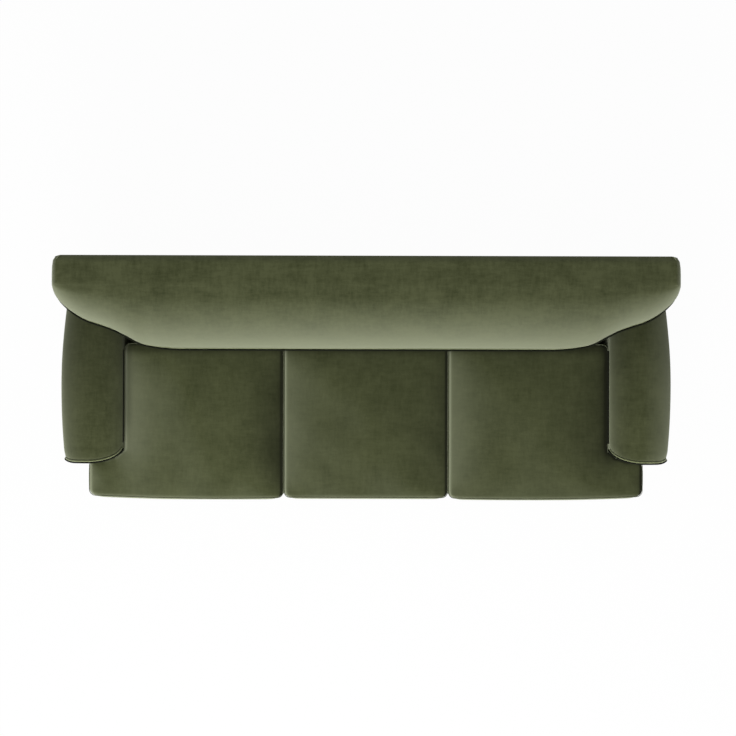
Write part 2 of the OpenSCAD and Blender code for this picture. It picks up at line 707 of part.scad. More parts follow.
// Direction away from a closed outline at one of its points
function outward(loop, i) = let (
    n = len(loop), a = loop[(i + n - 1) % n], b = loop[(i + 1) % n], d = unit(b - a)) [d[1], -d[0]];
function pushed(loop, d) = [for (i = [0 : len(loop) - 1]) loop[i] + outward(loop, i) * d];

// Height of the crown over the seams, falling to nothing at the edges of the seat
cushion_mid_y = (front_y + cushion_rear_y) / 2;
function dome(p, mid_x) = let (
    u = (p[0] - mid_x) / (mid_x > 0 ? side_w / 2 : middle_w / 2),
    v = (p[1] - cushion_mid_y) / (cushion_rear_y - cushion_mid_y))
    cushion_crown * max(0, 1 - pow(abs(u), 2.5)) * max(0, 1 - pow(abs(v), 2.5));

// Loops of a cushion: share of its height, inset as a share of the corner radius, share of the bulge
side_shares = [[0, 0.7, 0], [0.03, 0.25, 0], [0.1, 0.03, 0], [0.3, 0, 0.75], [0.5, 0, 1], [0.7, 0, 0.75],
    [0.9, 0.03, 0], [0.97, 0.25, 0], [1, 0.7, 0]];
core_shares = [[0, 0.7, 0], [0.1, 0.03, 0], [0.5, 0, 1], [0.9, 0.03, 0], [1, 0.7, 0]];
ring_shares = [0.3, 0.65];
function cushion_loops(outline, mid_x, tip, deep, shares) = let (
    rise = cushion_t - 2 * deep, z0 = cushion_z + deep,
    edge = pushed(outline, -cushion_corner_r * shares[0][1] - deep))
    concat([[for (p = edge) let (q = mix(p, tip, 0.5)) [q[0], q[1], z0]]],
        [for (s = shares) [for (p = pushed(outline, s[2] * cushion_bulge - s[1] * cushion_corner_r - deep))
            [p[0], p[1], z0 + rise * s[0] + (s[0] > 0.95 ? dome(p, mid_x) : 0)]]],
        [for (t = ring_shares) [for (p = edge) let (q = mix(p, tip, t))
            [q[0], q[1], z0 + rise + dome(q, mid_x)]]]);
function cushion_tip(tip, mid_x, deep, top) =
    [tip[0], tip[1], top ? cushion_z + cushion_t - deep + dome(tip, mid_x) : cushion_z + deep];

module cushion_core(outline, mid_x, tip) {
    deep = cover_t + fit;
    loft(cushion_loops(outline, mid_x, tip, deep, core_shares),
        cushion_tip(tip, mid_x, deep, false), cushion_tip(tip, mid_x, deep, true));
}

// The zipped strip fills the middle of the rear boxing: its rows and its columns in the cushion's loops
zip_rows = [4, 6];
arc_points = corner_steps + 1;
ear_points = 4;
middle_first = 2 * arc_points + side_points;
side_first = middle_first + ear_points + corner_points + 1;
middle_zip = [middle_first, middle_first + rear_points - 1];
side_zip = [side_first, side_first + rear_points - 1];

// Cover with an outer and an inner skin, open where the zipped strip goes
module cushion_cover(outline, mid_x, tip, zip) {
    outer = cushion_loops(outline, mid_x, tip, 0, side_shares);
    inner = cushion_loops(outline, mid_x, tip, cover_t, side_shares);
    rows = len(outer);
    cols = len(outer[0]);
    n = rows * cols;
    tips = 2 * n;
    skin = [for (r = [0 : rows - 2]) for (c = [0 : cols - 1])
        if (!(r >= zip_rows[0] && r < zip_rows[1] && c >= zip[0] && c < zip[1]))
        let (a = r * cols + c, b = r * cols + (c + 1) % cols)
        each [[a, a + cols, b], [b, a + cols, b + cols]]];
    inner_skin = [for (f = skin) [f[0] + n, f[2] + n, f[1] + n]];
    top = (rows - 1) * cols;
    ends = [for (c = [0 : cols - 1]) let (d = (c + 1) % cols)
        each [[tips, c, d], [tips + 1, top + d, top + c],
        [tips + 2, d + n, c + n], [tips + 3, top + c + n, top + d + n]]];
    low = [for (c = [zip[0] : zip[1] - 1]) let (a = zip_rows[0] * cols + c)
        each [[a, a + n, a + 1], [a + 1, a + n, a + 1 + n]]];
    high = [for (c = [zip[0] : zip[1] - 1]) let (a = zip_rows[1] * cols + c)
        each [[a, a + 1, a + n], [a + 1, a + 1 + n, a + n]]];
    near = [for (r = [zip_rows[0] : zip_rows[1] - 1]) let (a = r * cols + zip[0])
        each [[a, a + cols, a + n], [a + cols, a + cols + n, a + n]]];
    far = [for (r = [zip_rows[0] : zip_rows[1] - 1]) let (a = r * cols + zip[1])
        each [[a, a + n, a + cols], [a + cols, a + n, a + cols + n]]];
    polyhedron(concat([for (l = concat(outer, inner)) each l],
        [cushion_tip(tip, mid_x, 0, false), cushion_tip(tip, mid_x, 0, true),
            cushion_tip(tip, mid_x, cover_t, false), cushion_tip(tip, mid_x, cover_t, true)]),
        concat(skin, inner_skin, ends, low, high, near, far), convexity = 8);
}

module cushion_zip(outline, mid_x, tip, zip) {
    outer = cushion_loops(outline, mid_x, tip, 0, side_shares);
    inner = cushion_loops(outline, mid_x, tip, cover_t, side_shares);
    slab([for (r = [zip_rows[0] : zip_rows[1]]) [for (c = [zip[0] : zip[1]]) outer[r][c]]],
        [for (r = [zip_rows[0] : zip_rows[1]]) [for (c = [zip[0] : zip[1]]) inner[r][c]]]);
}

side_mid_x = middle_w / 2 + side_w / 2;
side_tip = [side_mid_x + cushion_corner_r, (front_y + arm_front_y) / 2];
middle_tip = [0, cushion_mid_y];

module cushion_cover_side() { color(velvet) cushion_cover(side_outline(), side_mid_x, side_tip, side_zip); }
module cushion_cover_middle() { color(velvet) cushion_cover(middle_outline(), 0, middle_tip, middle_zip); }
module cushion_core_side() { color(foam) cushion_core(side_outline(), side_mid_x, side_tip); }
module cushion_core_middle() { color(foam) cushion_core(middle_outline(), 0, middle_tip); }
module cushion_zip_side() { color(nylon) cushion_zip(side_outline(), side_mid_x, side_tip, side_zip); }
module cushion_zip_middle() { color(nylon) cushion_zip(middle_outline(), 0, middle_tip, middle_zip); }

leg(-leg_x, leg_front_y);  // leg_front_left
leg(leg_x, leg_front_y);  // leg_front_right
leg(-leg_x, leg_rear_y);  // leg_rear_left
leg(leg_x, leg_rear_y);  // leg_rear_right
leg(0, 0);  // leg_centre
leg_glides();
leg_hanger_bolts();
leg_threaded_inserts();
front_rail();
rear_rail();
other_side() side_rail();  // side_rail_left
side_rail();  // side_rail_right
stretcher(-upright_x);  // stretcher_left
stretcher(0);  // stretcher_centre
stretcher(upright_x);  // stretcher_right
corner_blocks();
seat_springs();
spring_clips();
spring_tie_wires();
seat_insulator();
deck_pad();
deck_cloth();
other_side() arm_base_board();  // arm_base_board_left
arm_base_board();  // arm_base_board_right
other_side() arm_top_board();  // arm_top_board_left
arm_top_board();  // arm_top_board_right
other_side() arm_front_block();  // arm_front_block_left
arm_front_block();  // arm_front_block_right
other_side() back_post();  // back_post_left
back_post();  // back_post_right
back_top_rail();
back_tacking_rail();
back_uprights();
other_side() wing_board();  // wing_board_left
wing_board();  // wing_board_right
back_webbing();
back_foam();
other_side() arm_foam();  // arm_foam_left
arm_foam();  // arm_foam_right
front_border_pad();
inside_back_cover();
outside_back_cover();
other_side() arm_cover();  // arm_cover_left
arm_cover();  // arm_cover_right
other_side() arm_front_panel();  // arm_front_panel_left
arm_front_panel();  // arm_front_panel_right
other_side() outside_arm_panel();  // outside_arm_panel_left
outside_arm_panel();  // outside_arm_panel_right
front_border_cover();
dust_cover();
piping();
other_side() cushion_cover_side();  // cushion_cover_left
cushion_cover_middle();
cushion_cover_side();  // cushion_cover_right
other_side() cushion_core_side();  // cushion_core_left
cushion_core_middle();
cushion_core_side();  // cushion_core_right
other_side() cushion_zip_side();  // cushion_zip_left
cushion_zip_middle();
cushion_zip_side();  // cushion_zip_right
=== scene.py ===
# Olive velvet three-seat sofa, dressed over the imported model. Lengths are in metres.
import bmesh
import bpy
import json
import numpy as np
from math import pi, radians, tan
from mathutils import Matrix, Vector
from mathutils.geometry import tessellate_polygon


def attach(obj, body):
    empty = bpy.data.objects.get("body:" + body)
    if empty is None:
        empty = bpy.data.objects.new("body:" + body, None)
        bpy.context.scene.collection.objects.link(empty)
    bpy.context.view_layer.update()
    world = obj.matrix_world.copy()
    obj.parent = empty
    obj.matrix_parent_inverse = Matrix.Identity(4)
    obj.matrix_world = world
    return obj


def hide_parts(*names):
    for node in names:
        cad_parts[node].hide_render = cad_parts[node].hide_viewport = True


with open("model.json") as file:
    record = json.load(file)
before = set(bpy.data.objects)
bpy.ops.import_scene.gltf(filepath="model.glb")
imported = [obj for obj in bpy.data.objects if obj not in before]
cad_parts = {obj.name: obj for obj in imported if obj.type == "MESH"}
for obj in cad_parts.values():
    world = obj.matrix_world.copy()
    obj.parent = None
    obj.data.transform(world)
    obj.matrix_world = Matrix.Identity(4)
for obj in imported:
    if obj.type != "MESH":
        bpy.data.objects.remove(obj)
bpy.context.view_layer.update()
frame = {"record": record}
scene = bpy.context.scene
scene.view_settings.view_transform = "Standard"
rootBody = "sofa_frame"
print("frame loaded")

# Plan lines and levels that several pieces share; the gap keeps a cloth off its neighbour
sofa = {
    "halfWidth": 1.126, "frontY": -0.448, "rearY": 0.448, "topZ": 0.860, "rake": 5.5,
    "cloth": 0.002, "gap": 0.0003, "baseZ": 0.130, "deckZ": 0.3198, "seamZ": 0.4701,
    "baseHalf": 1.037, "seatHalf": 0.910, "baseFrontY": -0.430, "backFrontY": 0.116,
}


def rearLine(z):
    # the outside back leans: y = rear y at the top, less the drop below it times the rake's tangent
    return sofa["rearY"] - (sofa["topZ"] - z) * tan(radians(sofa["rake"]))


def clothRear(z):
    # rear limit of the padding, just inside the outside back's cloth
    return rearLine(z) - sofa["cloth"]


def mix(a, b, t):
    return a + (b - a) * t


def ease(t):
    # smooth step 3t^2 - 2t^3, held at its ends
    t = np.clip(t, 0, 1)
    return t * t * (3 - 2 * t)


def unitRows(v):
    return v / np.maximum(np.linalg.norm(v, axis=-1, keepdims=True), 1e-12)


def coords(*parts):
    # a row of coordinates for each point, from arrays and single numbers
    return np.stack(np.broadcast_arrays(*parts), axis=-1)


# Mesh helpers

def gridFaces(rows, cols, wrapRows=False, wrapCols=False, first=0):
    # quads of a grid numbered row by row; the last row or column can be joined to the first
    r = np.arange(rows if wrapRows else rows - 1)[:, None]
    c = np.arange(cols if wrapCols else cols - 1)[None, :]
    r2, c2 = (r + 1) % rows, (c + 1) % cols
    return first + coords(r * cols + c, r * cols + c2, r2 * cols + c2, r2 * cols + c).reshape(-1, 4)


def smoothRows(values, knots, fine):
    # cubic Hermite curve through rows of values, with slopes from their neighbours
    slopes = np.gradient(values, knots, axis=0)
    i = np.clip(np.searchsorted(knots, fine, side="right") - 1, 0, len(knots) - 2)
    h = (knots[i + 1] - knots[i]).reshape(-1, *[1] * (values.ndim - 1))
    t = ((fine - knots[i]) / (knots[i + 1] - knots[i])).reshape(h.shape)
    return ((2 * t**3 - 3 * t**2 + 1) * values[i] + (t**3 - 2 * t**2 + t) * h * slopes[i]
            + (3 * t**2 - 2 * t**3) * values[i + 1] + (t**3 - t**2) * h * slopes[i + 1])


def runAlong(path):
    return np.concatenate([[0], np.cumsum(np.linalg.norm(np.diff(path, axis=0), axis=1))])


def ripple(p, height, size, seed):
    # slow unevenness of stuffed cloth: a sum of sine waves in five directions, up to height either way
    rng = np.random.default_rng(seed)
    total = np.zeros(p.shape[:-1])
    for k in range(5):
        way = rng.normal(size=3)
        way = way / np.linalg.norm(way) * 2 * pi / (size * (0.7 + 0.25 * k))
        total = total + np.sin(p @ way + rng.uniform(0, 2 * pi))
    return height * total / 5


def newObject(name, data, place=(0, 0, 0)):
    item = bpy.data.objects.new(name, data)
    item.location = place
    scene.collection.objects.link(item)
    return item


def newPiece(name, points, faces):
    mesh = bpy.data.meshes.new(name)
    mesh.from_pydata(points, [], faces)
    mesh.update()
    return newObject(name, mesh), mesh


def putPiece(name, points, faces, material, body=rootBody, hides=(), sharp=40, extra=()):
    allFaces = [list(f) for f in faces] + [list(f) for f in extra]
    piece, mesh = newPiece(name, points.reshape(-1, 3).tolist(), allFaces)
    cleanMesh(mesh)
    mesh.shade_smooth()
    mesh.set_sharp_from_angle(angle=radians(sharp))
    mesh.materials.append(material)
    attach(piece, body)
    if hides:
        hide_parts(*hides)
    return piece


def cleanMesh(mesh):
    # doubles are merged, collapsed faces go, and all faces turn outwards
    bm = bmesh.new()
    bm.from_mesh(mesh)
    bmesh.ops.remove_doubles(bm, verts=bm.verts, dist=2e-5)
    bmesh.ops.dissolve_degenerate(bm, edges=bm.edges, dist=1e-6)
    bmesh.ops.recalc_face_normals(bm, faces=bm.faces)
    bm.to_mesh(mesh)
    bm.free()


def tubePoints(path, radius, sides=10):
    # rings round a path: point + radius (cos a side + sin a up), both square to the path's direction
    ahead = unitRows(np.gradient(path, axis=0))
    level = [0.0, 1.0, 0.0] if np.abs(ahead[:, 2]).max() > 0.95 else [0.0, 0.0, 1.0]
    side = unitRows(np.cross(ahead, level))
    up = np.cross(side, ahead)
    a = np.linspace(0, 2 * pi, sides, endpoint=False)[None, :, None]
    return path[:, None] + radius * (np.cos(a) * side[:, None] + np.sin(a) * up[:, None])


def putTubes(name, paths, radius, material, body=rootBody, hides=(), sides=10):
    # round cords along several paths, each closed at its ends, as one piece
    points, faces, caps, first = [], [], [], 0
    for path in paths:
        ring = tubePoints(path, radius, sides)
        rows = len(ring)
        points.append(ring.reshape(-1, 3))
        faces.append(gridFaces(rows, sides, wrapCols=True, first=first))
        last = first + (rows - 1) * sides
        caps += [list(range(first, first + sides)), list(range(last, last + sides))]
        first += rows * sides
    putPiece(name, np.concatenate(points), np.concatenate(faces), material, body, hides, sharp=60,
             extra=caps)


# Materials: shared effects as node groups

def fill(tree, sockets, values):
    # a socket gets a fixed value, or a link from another node's output
    for key, value in values.items():
        if isinstance(value, bpy.types.NodeSocket):
            tree.links.new(value, sockets[key])
        else:
            sockets[key].default_value = value


def addNode(tree, kind, values, settings=None):
    node = tree.nodes.new(kind)
    for key, value in (settings or {}).items():
        setattr(node, key, value)
    fill(tree, node.inputs, values)
    return node.outputs


def calc(tree, what, *terms):
    return addNode(tree, "ShaderNodeMath", dict(enumerate(terms)), {"operation": what})[0]


def newGroup(name, inputs):
    # a group that turns a position and its settings into a shade and a height
    group = bpy.data.node_groups.new(name, "ShaderNodeTree")
    newSocket = group.interface.new_socket
    newSocket(name="Position", in_out="INPUT", socket_type="NodeSocketVector")
    for label, value in inputs.items():
        kind = "NodeSocketVector" if isinstance(value, tuple) else "NodeSocketFloat"
        newSocket(name=label, in_out="INPUT", socket_type=kind).default_value = value
    for label in ("Shade", "Height"):
        newSocket(name=label, in_out="OUTPUT", socket_type="NodeSocketFloat")
    return group, group.nodes.new("NodeGroupInput").outputs, group.nodes.new("NodeGroupOutput").inputs


def addNoise(tree, place, **values):
    values = {key.title(): value for key, value in values.items()}
    return addNode(tree, "ShaderNodeTexNoise", {"Vector": place, **values})["Fac"]


def addRange(tree, value, low, high, start=0.0, end=1.0, kind="LINEAR"):
    # the value's way from low to high becomes the way from start to end
    return addNode(tree, "ShaderNodeMapRange", {
        "Value": value, "From Min": low, "From Max": high, "To Min": start, "To Max": end},
        {"interpolation_type": kind})[0]


def buildNap():
    # velvet nap: soft blotches where the pile leans, short mottles along the weave, and a fine pile height
    group, given, result = newGroup("velvetNap", {"Blotch": 9.0, "Mottle": 60.0, "Pile": 900.0})
    place = given["Position"]
    blotch = addNoise(group, place, scale=given["Blotch"], detail=3.0, roughness=0.5, distortion=0.3)
    mottles = []
    for stretch in ((1.0, 0.28, 0.5), (0.28, 1.0, 0.5)):
        turned = addNode(group, "ShaderNodeMapping", {"Vector": place, "Scale": stretch})[0]
        mottles.append(addNoise(group, turned, scale=given["Mottle"], detail=4.0, roughness=0.75))
    pile = addNoise(group, place, scale=given["Pile"], detail=2.0, roughness=0.7)
    shade = calc(group, "MULTIPLY", blotch, 0.35)
    for effect, share in ((calc(group, "ADD", *mottles), 0.30), (pile, 0.05)):
        shade = calc(group, "ADD", shade, calc(group, "MULTIPLY", effect, share))
    fill(group, result, {"Shade": shade, "Height": pile})
    return group


def buildWeave():
    # plain weave: two crossed sine bands, each lifted where the other dips
    group, given, result = newGroup("plainWeave", {"Threads": 2400.0})
    parts = addNode(group, "ShaderNodeSeparateXYZ", {0: given["Position"]})
    waves = [calc(group, "SINE", calc(group, "MULTIPLY", parts[axis], given["Threads"])) for axis in (0, 1)]
    height = calc(group, "MULTIPLY", *waves)
    fill(group, result, {"Height": calc(group, "MULTIPLY_ADD", height, 0.5, 0.5),
                         "Shade": addNoise(group, given["Position"], scale=40.0, detail=3.0)})
    return group


def buildGrain():
    # wood grain: noise drawn out along the axis with the least stretch, with fine pores
    group, given, result = newGroup("woodGrain", {"Stretch": (1.5, 22.0, 22.0), "Pores": 14.0})
    place = addNode(group, "ShaderNodeVectorMath", {0: given["Position"], 1: given["Stretch"]},
                    {"operation": "MULTIPLY"})[0]
    rings = addNoise(group, place, scale=1.6, detail=4.0, distortion=0.4)
    pores = addNoise(group, place, scale=given["Pores"], detail=3.0, roughness=0.7)
    height = calc(group, "ADD", calc(group, "MULTIPLY", rings, 0.4), calc(group, "MULTIPLY", pores, 0.6))
    fill(group, result, {"Shade": rings, "Height": height})
    return group


nap, weave, grain = buildNap(), buildWeave(), buildGrain()


def newMaterial(name, shaderValues):
    material = bpy.data.materials.new(name)
    material.use_nodes = True
    tree = material.node_tree
    shader = tree.nodes["Principled BSDF"].inputs
    fill(tree, shader, shaderValues)
    return material, tree, shader, addNode(tree, "ShaderNodeTexCoord", {})


def addEffect(tree, group, place, values):
    return addNode(tree, "ShaderNodeGroup", {"Position": place, **values}, {"node_tree": group})


def colourRamp(tree, fac, dark, light):
    # dark and light are each a place on the ramp and a colour
    ramp = tree.nodes.new("ShaderNodeValToRGB")
    for element, (place, colour) in zip(ramp.color_ramp.elements, (dark, light)):
        element.position = place
        element.color = (*colour, 1)
    tree.links.new(fac, ramp.inputs["Fac"])
    return ramp.outputs["Color"]


def addBump(tree, height, strength, distance):
    return addNode(tree, "ShaderNodeBump", {"Strength": strength, "Distance": distance, "Height": height})[0]


# the edge colour is a painted sheen; the slope, rear and crease settings below shape painted shade
velvetLook = {
    "deep": (0.036, 0.042, 0.015), "lit": (0.080, 0.089, 0.040), "edge": (0.300, 0.322, 0.215),
    "roughness": 0.92, "specular": 0.12, "sheen": 0.28, "sheenRoughness": 0.40,
    "sheenTint": (0.75, 0.80, 0.60), "mottle": 75.0, "pile": 900.0, "napMiddle": 0.46,
    "facingPower": 1.15, "leastFavour": 0.1, "paintedSlopeShade": 1.7, "darkest": 0.2,
    "rearShadeRange": (0.25, -0.30), "backReach": 0.045, "armReach": (0.053, 0.008),
    "armRange": (-0.33, -0.25), "creasePower": 3.0, "bump": (0.25, 0.0008),
}


def velvetMaterial(name, paintedLightWay=(0, 0, 0), edge=1.0, tone=1.0, blotch=9.0, towards=(0, 0, 0), along=(1, 1),
                   creaseShade=0.0, armSideShade=0.0, spread=0.28):
    # base colour from the nap, mixed towards a pale edge colour where the pile is seen side on: a painted
    # sheen, most on the side that towards points to, which also sets the sheen weight; the first direction
    # paints light and shade, slopes facing it paler and the others darker; along paints shade darker at an
    # arm's rear by the back, and the creases get painted shade by the back and beside the arm
    look = velvetLook
    material, tree, shader, at = newMaterial(name, {
        "Roughness": look["roughness"], "Sheen Roughness": look["sheenRoughness"],
        "Sheen Tint": (*look["sheenTint"], 1), "Specular IOR Level": look["specular"]})
    place, normal = at["Object"], at["Normal"]
    effect = addEffect(tree, nap, place, {"Blotch": blotch, "Mottle": look["mottle"], "Pile": look["pile"]})
    shade = lambda key: tuple(v * tone for v in look[key])
    base = colourRamp(tree, effect["Shade"], (look["napMiddle"] - spread / 2, shade("deep")),
                      (look["napMiddle"] + spread / 2, shade("lit")))
    dots = [addNode(tree, "ShaderNodeVectorMath", {0: normal, 1: way}, {"operation": "DOT_PRODUCT"})["Value"]
            for way in (paintedLightWay, towards)]
    x, y, _ = addNode(tree, "ShaderNodeSeparateXYZ", {0: place})
    upward = addNode(tree, "ShaderNodeSeparateXYZ", {0: normal})[2]
    # painted light and shade: slopes facing the given direction are painted paler, those facing away painted
    # darker
    slope = calc(tree, "MULTIPLY", dots[0], calc(tree, "MAXIMUM", upward, 0.0))
    paintedSheenSide = calc(tree, "MAXIMUM", calc(tree, "ADD", dots[1], 1.0), look["leastFavour"])
    # painted sheen: the pale edge colour grows with the facing, more on the favoured side
    facing = addNode(tree, "ShaderNodeLayerWeight", {"Blend": 0.5})["Facing"]
    amount = calc(tree, "MULTIPLY", calc(tree, "POWER", facing, look["facingPower"]), paintedSheenSide)
    amount = calc(tree, "MULTIPLY_ADD", amount, edge, calc(tree, "MAXIMUM", slope, 0.0))
    tint = addNode(tree, "ShaderNodeMix", {0: amount, 6: base, 7: (*shade("edge"), 1)},
                   {"data_type": "RGBA"})[2]
    dark = calc(tree, "MULTIPLY_ADD", calc(tree, "MINIMUM", slope, 0.0), look["paintedSlopeShade"], 1.0)
    # painted shade: darker towards an arm's rear, where the back's wing shades it
    dark = calc(tree, "MULTIPLY", dark, addRange(tree, y, *look["rearShadeRange"], *along, "SMOOTHSTEP"))
    # painted shade in the creases: darker just in front of the back and, where asked, beside the arm
    nearBack = addRange(tree, y, sofa["backFrontY"] - look["backReach"], sofa["backFrontY"])
    nearArm = addRange(tree, x, *(sofa["seatHalf"] - reach for reach in look["armReach"]))
    nearBack, nearArm = (calc(tree, "POWER", near, look["creasePower"]) for near in (nearBack, nearArm))
    nearArm = calc(tree, "MULTIPLY", nearArm, addRange(tree, y, *look["armRange"]))
    for share, near in ((creaseShade, nearBack), (armSideShade, nearArm)):
        dark = calc(tree, "MULTIPLY", dark, calc(tree, "MULTIPLY_ADD", near, -share, 1.0))
    colour = addNode(tree, "ShaderNodeVectorMath", {
        0: tint, "Scale": calc(tree, "MAXIMUM", dark, look["darkest"])}, {"operation": "SCALE"})[0]
    sheen = calc(tree, "MULTIPLY", calc(tree, "MINIMUM", paintedSheenSide, 1.0), look["sheen"])
    fill(tree, shader, {"Base Color": colour, "Sheen Weight": sheen,
                        "Normal": addBump(tree, effect["Height"], *look["bump"])})
    return material


def wovenMaterial(name, dark, light, threads, bump=0.5):
    material, tree, shader, at = newMaterial(name, {"Roughness": 0.9, "Specular IOR Level": 0.2})
    effect = addEffect(tree, weave, at["Object"], {"Threads": threads})
    blend = calc(tree, "ADD", calc(tree, "MULTIPLY", effect["Height"], 0.6),
                 calc(tree, "MULTIPLY", effect["Shade"], 0.4))
    fill(tree, shader, {"Base Color": colourRamp(tree, blend, (0.2, dark), (0.8, light)),
                        "Normal": addBump(tree, effect["Height"], bump, 0.0006)})
    return material


def speckledMaterial(name, dark, light, noise, shaderValues, rough=None, bump=None):
    # foam cells, marks on steel or scuffs on plastic: a noise of a given scale and detail
    material, tree, shader, at = newMaterial(name, shaderValues)
    specks = addNoise(tree, at["Object"], scale=noise[0], detail=noise[1])
    values = {"Base Color": colourRamp(tree, specks, (0.3, dark), (0.7, light))}
    if rough:
        values["Roughness"] = calc(tree, "MULTIPLY_ADD", specks, *rough)
    if bump:
        values["Normal"] = addBump(tree, specks, *bump)
    fill(tree, shader, values)
    return material


def woodMaterial(name, dark, light, roughness, stretch, coat=0.0):
    material, tree, shader, at = newMaterial(name, {"Coat Weight": coat, "Coat Roughness": 0.2})
    effect = addEffect(tree, grain, at["Object"], {"Stretch": stretch, "Pores": 14.0})
    fill(tree, shader, {"Base Color": colourRamp(tree, effect["Shade"], (0.32, dark), (0.68, light)),
                        "Roughness": calc(tree, "MULTIPLY_ADD", effect["Height"], 0.2, roughness),
                        "Normal": addBump(tree, effect["Height"], 0.15, 0.0006)})
    return material


# plain velvet for the outside panels, with the default painted sheen
velvet = velvetMaterial("oliveVelvet")
# lit and shaded copies of one velvet for the three cushions: tone, painted light from the left and the
# painted shade beside the right arm differ by cushion
seatVelvet = {label: velvetMaterial(f"oliveVelvetSeat_{label}", paintedLightWay=(paintedLightWay, -0.45, 0), towards=(-0.6, 0, 0),
                                    tone=tone, creaseShade=0.44, armSideShade=dim, spread=0.33)
              for label, paintedLightWay, tone, dim in (("left", -3.0, 1.08, 0.0), ("middle", -2.0, 0.98, 0.0),
                                             ("right", -2.2, 0.98, 0.7))}
# seam cords with a strong painted sheen, most on their left and front sides
seatSeam = velvetMaterial("oliveVelvetSeatSeam", edge=2.2, tone=0.85, towards=(-0.7, -0.6, 0))
# the back's velvet: painted sheen, and slopes facing forward painted a little paler
backVelvet = velvetMaterial("oliveVelvetBack", paintedLightWay=(0, -0.10, 0), edge=1.12, spread=0.22)
# lit and shaded copies for the two arms: tone, painted sheen and painted light direction differ, so each
# arm's outer side reads paler, and both are painted darker towards the rear
armVelvet = {side: velvetMaterial(f"oliveVelvetArm_{label}", paintedLightWay=(paintedLightWay, -0.12, 0), edge=edge, tone=tone,
                                  towards=(pull, 0, 0), along=(0.66, 1.10))
             for side, label, paintedLightWay, edge, tone, pull in ((-1, "left", -0.02, 0.6, 0.94, -0.7),
                                                         (1, "right", 0.22, 0.9, 1.02, 0.1))}
# piping velvet painted three times paler than the cloth: a painted highlight along the piping
pipingHighlightVelvet = velvetMaterial("oliveVelvetPipingHighlight", edge=0.9, tone=3.0, blotch=30.0)
# near-black cloth for cords that stand for shadow lines: painted shadow
shadowCordCloth = wovenMaterial("shadowCordBlack", (0.004, 0.005, 0.002), (0.010, 0.012, 0.005), 2400.0, 0.2)
twill = wovenMaterial("deckTwill", (0.030, 0.036, 0.018), (0.050, 0.058, 0.030), 2400.0)
blackCloth = wovenMaterial("blackDustCloth", (0.010, 0.010, 0.010), (0.025, 0.025, 0.025), 1500.0)
juteCloth = wovenMaterial("juteCloth", (0.22, 0.15, 0.06), (0.42, 0.31, 0.15), 1100.0)
zipTape = wovenMaterial("zipTape", (0.008, 0.008, 0.008), (0.020, 0.020, 0.020), 3200.0)
softLook = {"noise": (700.0, 2.0), "shaderValues": {"Roughness": 0.95, "Specular IOR Level": 0.1},
            "bump": (0.4, 0.001)}
foam = speckledMaterial("creamFoam", (0.62, 0.55, 0.36), (0.80, 0.74, 0.56), **softLook)
felt = speckledMaterial("greyFelt", (0.42, 0.40, 0.34), (0.62, 0.60, 0.52), **softLook)
pine = woodMaterial("sawnPine", (0.30, 0.18, 0.08), (0.52, 0.36, 0.19), 0.6, (1.5, 22.0, 22.0))
legWood = woodMaterial("stainedLegWood", (0.020, 0.012, 0.007), (0.060, 0.036, 0.020), 0.35,
                       (22.0, 22.0, 2.0), 0.3)
steel = speckledMaterial("springSteel", (0.30, 0.31, 0.33), (0.48, 0.49, 0.51), (120.0, 3.0),
                         {"Metallic": 1.0}, rough=(0.25, 0.3))
nylon = speckledMaterial("blackNylon", (0.008, 0.008, 0.008), (0.020, 0.020, 0.020), (260.0, 3.0),
                         {"Specular IOR Level": 0.4}, rough=(0.3, 0.4), bump=(0.1, 0.0003))
print("materials made")

# Stage: floor, light and the camera straight above
stage = {
    "eye": (0.007, 0.050, 7.0), "roll": 0.16, "lens": 85.2, "sensor": 36.0, "floorSize": 160.0,
    "floorColour": 0.90, "floorGlow": 0.97, "world": 0.30, "lampAim": (0.0, 0.0, 0.45),
    "key": {"place": (-0.6, -4.6, 4.0), "size": 2.4, "power": 260.0},
    "fill": {"place": (-1.2, -0.6, 5.6), "size": 2.6, "power": 60.0},
}


def makeStage():
    camera = newObject("camera", bpy.data.cameras.new("camera"), stage["eye"])
    camera.rotation_euler = (0, 0, radians(stage["roll"]))
    camera.data.lens = stage["lens"]
    camera.data.sensor_width = stage["sensor"]
    scene.camera = camera
    for key in ("key", "fill"):
        lamp = bpy.data.lights.new(key, "AREA")
        lamp.size = stage[key]["size"]
        lamp.energy = stage[key]["power"]
        towards = Vector(stage["lampAim"]) - Vector(stage[key]["place"])
        turn = towards.to_track_quat("-Z", "Y").to_euler()
        newObject(key, lamp, stage[key]["place"]).rotation_euler = turn
    world = bpy.data.worlds.new("studio")
    world.use_nodes = True
    sky = world.node_tree.nodes["Background"].inputs
    sky["Color"].default_value = (1, 1, 1, 1)
    sky["Strength"].default_value = stage["world"]
    scene.world = world
    half = stage["floorSize"] / 2
    corners = [(-half, -half, 0), (half, -half, 0), (half, half, 0), (-half, half, 0)]
    floor, mesh = newPiece("floor", corners, [[0, 1, 2, 3]])
    mesh.materials.append(floorMaterial())


def floorMaterial():
    # pale floor that a camera, a mirror or glass sees as white where no shadow falls
    tone = stage["floorColour"]
    material, tree = newMaterial("paleFloor", {
        "Base Color": (tone, tone, tone, 1), "Roughness": 0.9, "Specular IOR Level": 0.0})[:2]
    glow = addNode(tree, "ShaderNodeEmission", {"Color": (1, 1, 1, 1), "Strength": 1.0})[0]
    ray = addNode(tree, "ShaderNodeLightPath", {})
    seen = calc(tree, "MAXIMUM", ray["Is Camera Ray"], ray["Is Glossy Ray"])
    blend = addNode(tree, "ShaderNodeMixShader", {
        0: calc(tree, "MULTIPLY", seen, stage["floorGlow"]), 1: tree.nodes["Principled BSDF"].outputs[0],
        2: glow})[0]
    fill(tree, tree.nodes["Material Output"].inputs, {"Surface": blend})
    return material


makeStage()
print("stage made")

